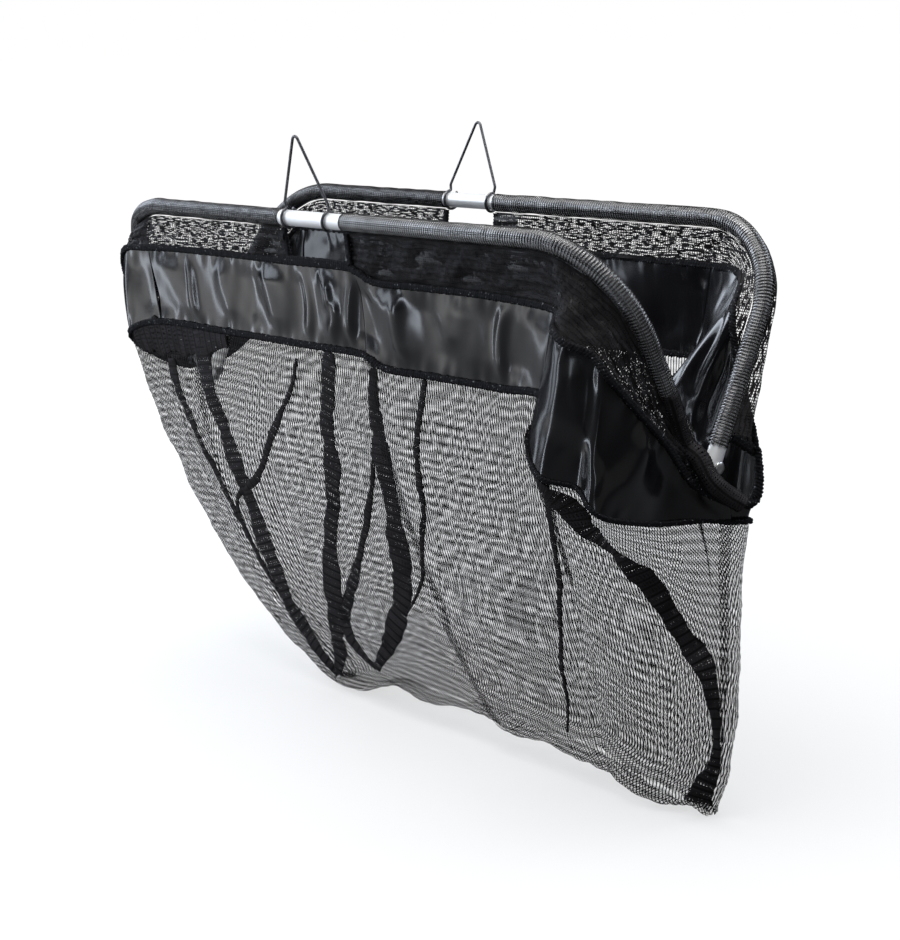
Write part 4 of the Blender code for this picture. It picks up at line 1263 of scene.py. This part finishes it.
def hang_parts(kind, rows, step, relief, thick=0.0):
    """The band's or the net's parts, each with its sheet, side, whether it is at an end, and its node."""
    for name, start, stop, before, after, side, node, end, lift in PARTS:
        span = (start - before, stop + after)
        u = spaced(span[0], span[1] - JUST, step)
        above = f"{name}_band_piece" if kind == "net" else None
        made, sheet = panel(f"{name}_{kind}_piece", u, rows, lifted(relief, span, lift), side, thick, above)
        yield made, sheet, side, end, node


class MakeBands(bpy.types.Operator):
    """The glossy band in its pieces: soft folds, ridges across and puckers along the stitching"""

    bl_idname = "weigh_net.bands"
    bl_label = "Band"

    def execute(self, context):
        rows, thick = np.linspace(SEAM, HEM, BAND_ROWS), sizes().vinyl_thick / MM
        for made, sheet, side, end, node in hang_parts("band", rows, BAND_STEP, band_relief, thick):
            dress(made, black_vinyl(), "band", f"{node}_band")
            move_cloth(made, side, end)
            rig.sheet(made, **sheet)
        return {"FINISHED"}


class MakeNets(bpy.types.Operator):
    """The see-through bag in its pieces, hanging from the band and turned in along the bottom"""

    bl_idname = "weigh_net.nets"
    bl_label = "Netting"

    def execute(self, context):
        under = np.linspace(BOTTOM, MIDDLE, BOTTOM_ROWS)[1:]
        rows = np.concatenate([np.linspace(HEM, BOTTOM, NET_ROWS), under])
        for made, sheet, side, end, node in hang_parts("net", rows, NET_STEP, net_relief):
            nodes = [f"{node}_net"] if end else [f"{node}_net", "net_bottom"]
            dress(made, netting("fine_netting" if side < 0 else "far_netting"), "netting", *nodes)
            move_cloth(made, side, end)
            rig.sheet(made, **sheet)
        return {"FINISHED"}


# Pleats where the netting is folded on itself: points (u, v) down each, and the half width at each in mm
PLEATS = {
    "a": ((0.58, 2.06, 8), (0.68, 2.95, 9), (0.74, 3.7, 10), (0.66, 4.43, 11), (0.4, 5.15, 9), (0.1, 5.8, 4)),
    "b": ((2.4, 2.04, 7), (2.2, 2.9, 8), (2.04, 3.55, 9), (1.34, 4.78, 11), (0.8, 5.4, 9), (0.15, 5.8, 4)),
    "c": ((3.3, 2.06, 3), (3.12, 2.7, 7), (3.02, 3.3, 10), (2.62, 4.28, 12), (1.98, 5.0, 10), (1.2, 5.62, 3)),
    "d": ((4.76, 2.05, 2.6), (4.45, 2.9, 3), (4.1, 3.65, 3), (3.3, 4.15, 2.4), (2.3, 4.8, 0.8)),
    "e": ((7.5, 2.1, 2.5), (7.12, 2.7, 3), (6.44, 3.73, 2.8), (5.96, 4.53, 2.2), (5.7, 5.53, 0.8)),
    "f": ((7.6, 2.06, 9), (9.34, 2.28, 10), (9.8, 2.7, 9), (10.9, 2.85, 9), (11.9, 3.1, 8), (12.6, 3.65, 8),
          (13.6, 4.0, 7), (14.4, 4.6, 3.5), (14.5, 5.1, 4), (14.1, 5.5, 8), (13.9, 5.9, 9)),
    "g": ((0.1, 2.5, 5), (0.15, 3.0, 5), (0.28, 3.48, 4), (0.42, 4.33, 3), (0.4, 5.0, 2)),
    "h": ((1.9, 2.2, 1.5), (1.74, 2.7, 2.5), (1.1, 3.62, 4), (0.5, 4.05, 2.5), (0.42, 4.6, 1.5)),
    "j": ((34.2, 2.16, 8), (34.6, 2.19, 14), (35.2, 2.21, 15), (35.6, 2.18, 13), (36.0, 2.12, 5)),
    "i": ((2.95, 3.0, 1.2), (2.68, 3.45, 2.5), (2.0, 4.3, 4.5), (1.3, 5.03, 7), (1.2, 5.6, 2)),
}
PLEAT_LIFT, PLEAT_THICK, PLEAT_UNEVEN = 1.0, 0.9, 0.16
PLEAT_RINGS, PLEAT_SIDES, PLEAT_STEP, ROW_DEPTH = 90, 20, 4.0, 60.0
# A pleat that goes this many columns past the right corner moves with the end
PLEAT_PAST = 0.7


def on_cloth(u, v, height):
    """Points on the raised cloth at pairs of u and v, and the outward direction at each."""
    around = np.array((-0.03, 0.0, 0.03))
    patch = np.array([cloth(a, b) for a, b in zip(u[:, None] + around, v[:, None] + around)])
    outward = unit(np.cross(patch[:, 1, 2] - patch[:, 1, 0], patch[:, 2, 1] - patch[:, 0, 1]))
    return patch[:, 1, 1] + outward * height[:, None], outward


class MakePleats(bpy.types.Operator):
    """Folds of the netting pressed flat: a lens-shaped section carried down a line on the bag"""

    bl_idname = "weigh_net.pleats"
    bl_label = "Pleats"

    def execute(self, context):
        turn = turns(PLEAT_SIDES)[None, :, None]
        for letter, rows in PLEATS.items():
            u, v, half = smooth_line(rows, PLEAT_RINGS).T
            centre, outward = on_cloth(u, v, net_relief(round_mm(u), (v - HEM) * ROW_DEPTH) + PLEAT_LIFT)
            run = np.arange(len(u)) * PLEAT_STEP
            half = np.maximum(half * (1 + PLEAT_UNEVEN * waves(run, 0 * run, 25.0, 61)), 0.5)
            side = unit(np.cross(outward, unit(np.gradient(centre, axis=0))))
            wide = side[:, None] * np.cos(turn) * half[:, None, None]
            thick = outward[:, None] * np.sin(turn) * PLEAT_THICK
            made = skin(f"pleat_{letter}", centre[:, None] + wide + thick, lengthwise_rows=True)
            dress(made, netting("dense_netting"), "netting")
            move_cloth(made, -1, RIGHT_START + PLEAT_PAST < u.max() < LEFT_START)
        return {"FINISHED"}


def ridge_line(u, row, lift):
    """A line on the cloth along one row, lift millimetres outside it, with its outward directions."""
    around = cloth(u, np.array([row - 0.04, row, row + 0.04]))
    outward = grid_normals(around)[:, 1]
    return around[:, 1] + outward * lift, outward


def stitched(name, line, outward, radius, sides=12):
    """An overlocked edge: a round ridge wound by slanting stitches, each a swelling along the line that
    turns as it goes round, flattened a little against the cloth."""
    pitch = sizes().stitch_pitch / MM
    line, outward = eased(line, outward, pitch / 6, 3)
    run = (np.arange(len(line)) * pitch / 6)[:, None]
    turn = turns(sides)[None, :]
    stitch = np.abs(np.sin(math.pi * (run / pitch) + turn))
    loose = waves(run, 8 * turn, 7.0, 51)
    oval = 0.72 + 0.75 * np.abs(np.sin(turn))
    return swept(name, line, radius * oval * (0.8 + 0.3 * stitch + 0.1 * loose), outward, sides)


class MakeSeams(bpy.types.Operator):
    """Overlocked seams along both edges of the band"""

    bl_idname = "weigh_net.seams"
    bl_label = "Seams"

    def execute(self, context):
        for name, start, stop, _, _, side, node, end, lift in PARTS:
            u = spaced(start, stop, STRIP_STEP)
            fade = fading(round_mm(u), round_mm(start))[:, None]
            for row, label in ((SEAM, "top_seam"), (HEM, "hem_seam")):
                line, outward = ridge_line(u, row, SEAM_RADIUS * SEAM_OUT)
                line = line + outward * max(lift, 0.0) * fade
                radius = SEAM_RADIUS * (SEAM_NARROW if node == "right_end" and row == HEM else SEAM_WIDE)
                made = stitched(f"{name}_{label}_ridge", line, outward, radius)
                dress(made, overlock_thread(), "overlock", f"{node}_{label}")
                move_cloth(made, side, end)
        return {"FINISHED"}


# The notches' edges in their parts: notch, part, the columns where it starts and ends, whether it goes up a
# cut edge there, side
NOTCH_PARTS = (
    ("front", "", *FRONT_GAP_U, True, True, -1),
    ("rear", "", *REAR_GAP_U, True, True, 1),
    ("right", "_first", RIGHT_STRIP_END, RIGHT_SPLIT, True, False, -1),
    ("right", "_last", RIGHT_SPLIT, REAR_STRIP_START, False, True, 1),
    ("left", "_first", LEFT_STRIP_END, LEFT_SPLIT, True, False, 1),
    ("left", "_last", LEFT_SPLIT, FRONT_STRIP_START, False, True, -1),
)


def cut_edge(u):
    """Points down the cut edge of a strip, from the tube to just above the band, with outward directions."""
    around = cloth(np.array([u - 0.02, u, u + 0.02]), np.linspace(0.03, 0.93, 12))
    return around[1], grid_normals(around)[1]


def notch_line(start, end, first, last):
    """The bound edge of a notch: down one cut edge, along above the band, and up the other."""
    u = spaced(start, end, STRIP_STEP)
    level, out = ridge_line(u, SEAM, BINDING_OUT)
    down = unit(np.diff(cloth(u, np.array([SEAM, SEAM + 0.05])), axis=1)[:, 0])
    parts = [(level - down * BINDING_UP, out)]
    if first:
        parts.insert(0, cut_edge(start - 1e-4))
    if last:
        parts.append([part[::-1] for part in cut_edge(end + 1e-4)])
    return [np.concatenate(lines) for lines in zip(*parts)]


class MakeBindings(bpy.types.Operator):
    """The bound edges of the four notches"""

    bl_idname = "weigh_net.bindings"
    bl_label = "Notch edges"

    def execute(self, context):
        for notch, part, start, stop, first, last, side in NOTCH_PARTS:
            radius = BINDING_RADIUS * (BINDING_WIDE if notch == "right" else BINDING_NARROW)
            made = stitched(f"{notch}_notch_edge{part}", *notch_line(start, stop, first, last), radius)
            dress(made, overlock_thread(), "overlock", f"{notch}_notch_binding")
            move_cloth(made, side, bool(part))
        return {"FINISHED"}


def studio_world():
    """A dim studio for reflections, with a plain white ground where the camera looks past the floor."""
    world = bpy.data.worlds.new("studio")
    world.use_nodes = True
    tree = world.node_tree
    shade = tree.nodes["Background"]
    ray, mixed = tree.nodes.new("ShaderNodeLightPath"), tree.nodes.new("ShaderNodeMapRange")
    tree.links.new(ray.outputs["Is Camera Ray"], mixed.inputs["Value"])
    mixed.inputs["To Min"].default_value, mixed.inputs["To Max"].default_value = STUDIO_DIM, 1.0
    tree.links.new(mixed.outputs[0], shade.inputs["Strength"])
    shade.inputs["Color"].default_value = (*WHITE, 1.0)
    return world


def placed(place, right, up, back):
    """A place and a turn as one matrix."""
    matrix = np.eye(4)
    matrix[:3, :3] = np.stack([right, up, back], axis=1)
    matrix[:3, 3] = place
    return Matrix(matrix.tolist())


def aimed(place, target):
    """A lamp's place and turn so that it shines at the target."""
    back = unit(place - target)
    right = unit(np.cross((0.0, 0.0, 1.0), back))
    return placed(place, right, np.cross(back, right), back)


class MakeStage(bpy.types.Operator):
    """Pale floor, soft studio lamps and the camera"""

    bl_idname = "weigh_net.stage"
    bl_label = "Stage"

    def execute(self, context):
        scene = context.scene
        low, far = NET_BOTTOM - BOTTOM_SAG - FLOOR_BELOW, FLOOR_SIZE
        corners = ((-far, -far, low), (far, -far, low), (far, far, low), (-far, far, low))
        floor = new_piece("floor", np.array(corners), [(0, 1, 2, 3)])
        floor.data.materials.append(pale_floor())
        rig.stage(floor)
        scene.world = studio_world()
        for name, place, (wide, high), power, colour in LAMPS:
            data = bpy.data.lights.new(name, "AREA")
            data.color = colour
            data.shape, data.energy, data.size, data.size_y = "RECTANGLE", power, wide, high
            lamp = bpy.data.objects.new(name, data)
            scene.collection.objects.link(lamp)
            lamp.matrix_world = aimed(to_world(place)[0], to_world(LAMP_TARGET)[0])
        data = bpy.data.cameras.new("camera")
        data.sensor_fit, data.sensor_width, data.lens = "HORIZONTAL", SENSOR, CAMERA_LENS
        camera = bpy.data.objects.new("camera", data)
        scene.collection.objects.link(camera)
        right, up = np.array(CAMERA_RIGHT), np.array(CAMERA_UP)
        camera.matrix_world = placed(to_world(CAMERA_PLACE)[0], right, up, np.cross(right, up))
        scene.camera = camera
        scene.view_settings.view_transform = "Standard"
        return {"FINISHED"}


OPERATORS = (
    MakeTubes, MakeRivets, MakeHangers, MakeSleeves, MakeStrips, MakeBands, MakeNets, MakePleats, MakeSeams,
    MakeBindings, MakeStage,
)


class WeighNetPanel(bpy.types.Panel):
    """Buttons for each group of pieces, and the sizes and colours they use"""

    bl_idname = "VIEW3D_PT_weigh_net"
    bl_label = "Weigh net"
    bl_space_type = "VIEW_3D"
    bl_region_type = "UI"
    bl_category = "Weigh net"

    def draw(self, context):
        for group in (sizes(), colours()):
            for name in group.bl_rna.properties.keys():
                if name not in {"rna_type", "name"}:
                    self.layout.prop(group, name)
        for operator in OPERATORS:
            self.layout.operator(operator.bl_idname)


CLASSES = (WeighNetSizes, WeighNetColours, *OPERATORS, WeighNetPanel)


def register():
    """Makes the classes known, and hangs both groups of settings on the scene."""
    for made in CLASSES:
        bpy.utils.register_class(made)
    bpy.types.Scene.weigh_net_sizes = PointerProperty(type=WeighNetSizes)
    bpy.types.Scene.weigh_net_colours = PointerProperty(type=WeighNetColours)


def unregister():
    """Takes the settings and the classes away again."""
    del bpy.types.Scene.weigh_net_colours
    del bpy.types.Scene.weigh_net_sizes
    for made in reversed(CLASSES):
        bpy.utils.unregister_class(made)


def main():
    """Makes every group of pieces in order, and writes the frame's box and the dressed model's."""
    register()
    for operator in OPERATORS:
        group, name = operator.bl_idname.split(".")
        getattr(getattr(bpy.ops, group), name)()
    bpy.context.view_layer.update()
    seen_box = [list(corner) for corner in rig.bounds()]
    with open("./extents.json", "w") as file:
        json.dump({"cad": CAD_BOX, "visual": seen_box}, file)


if __name__ == "__main__":
    main()
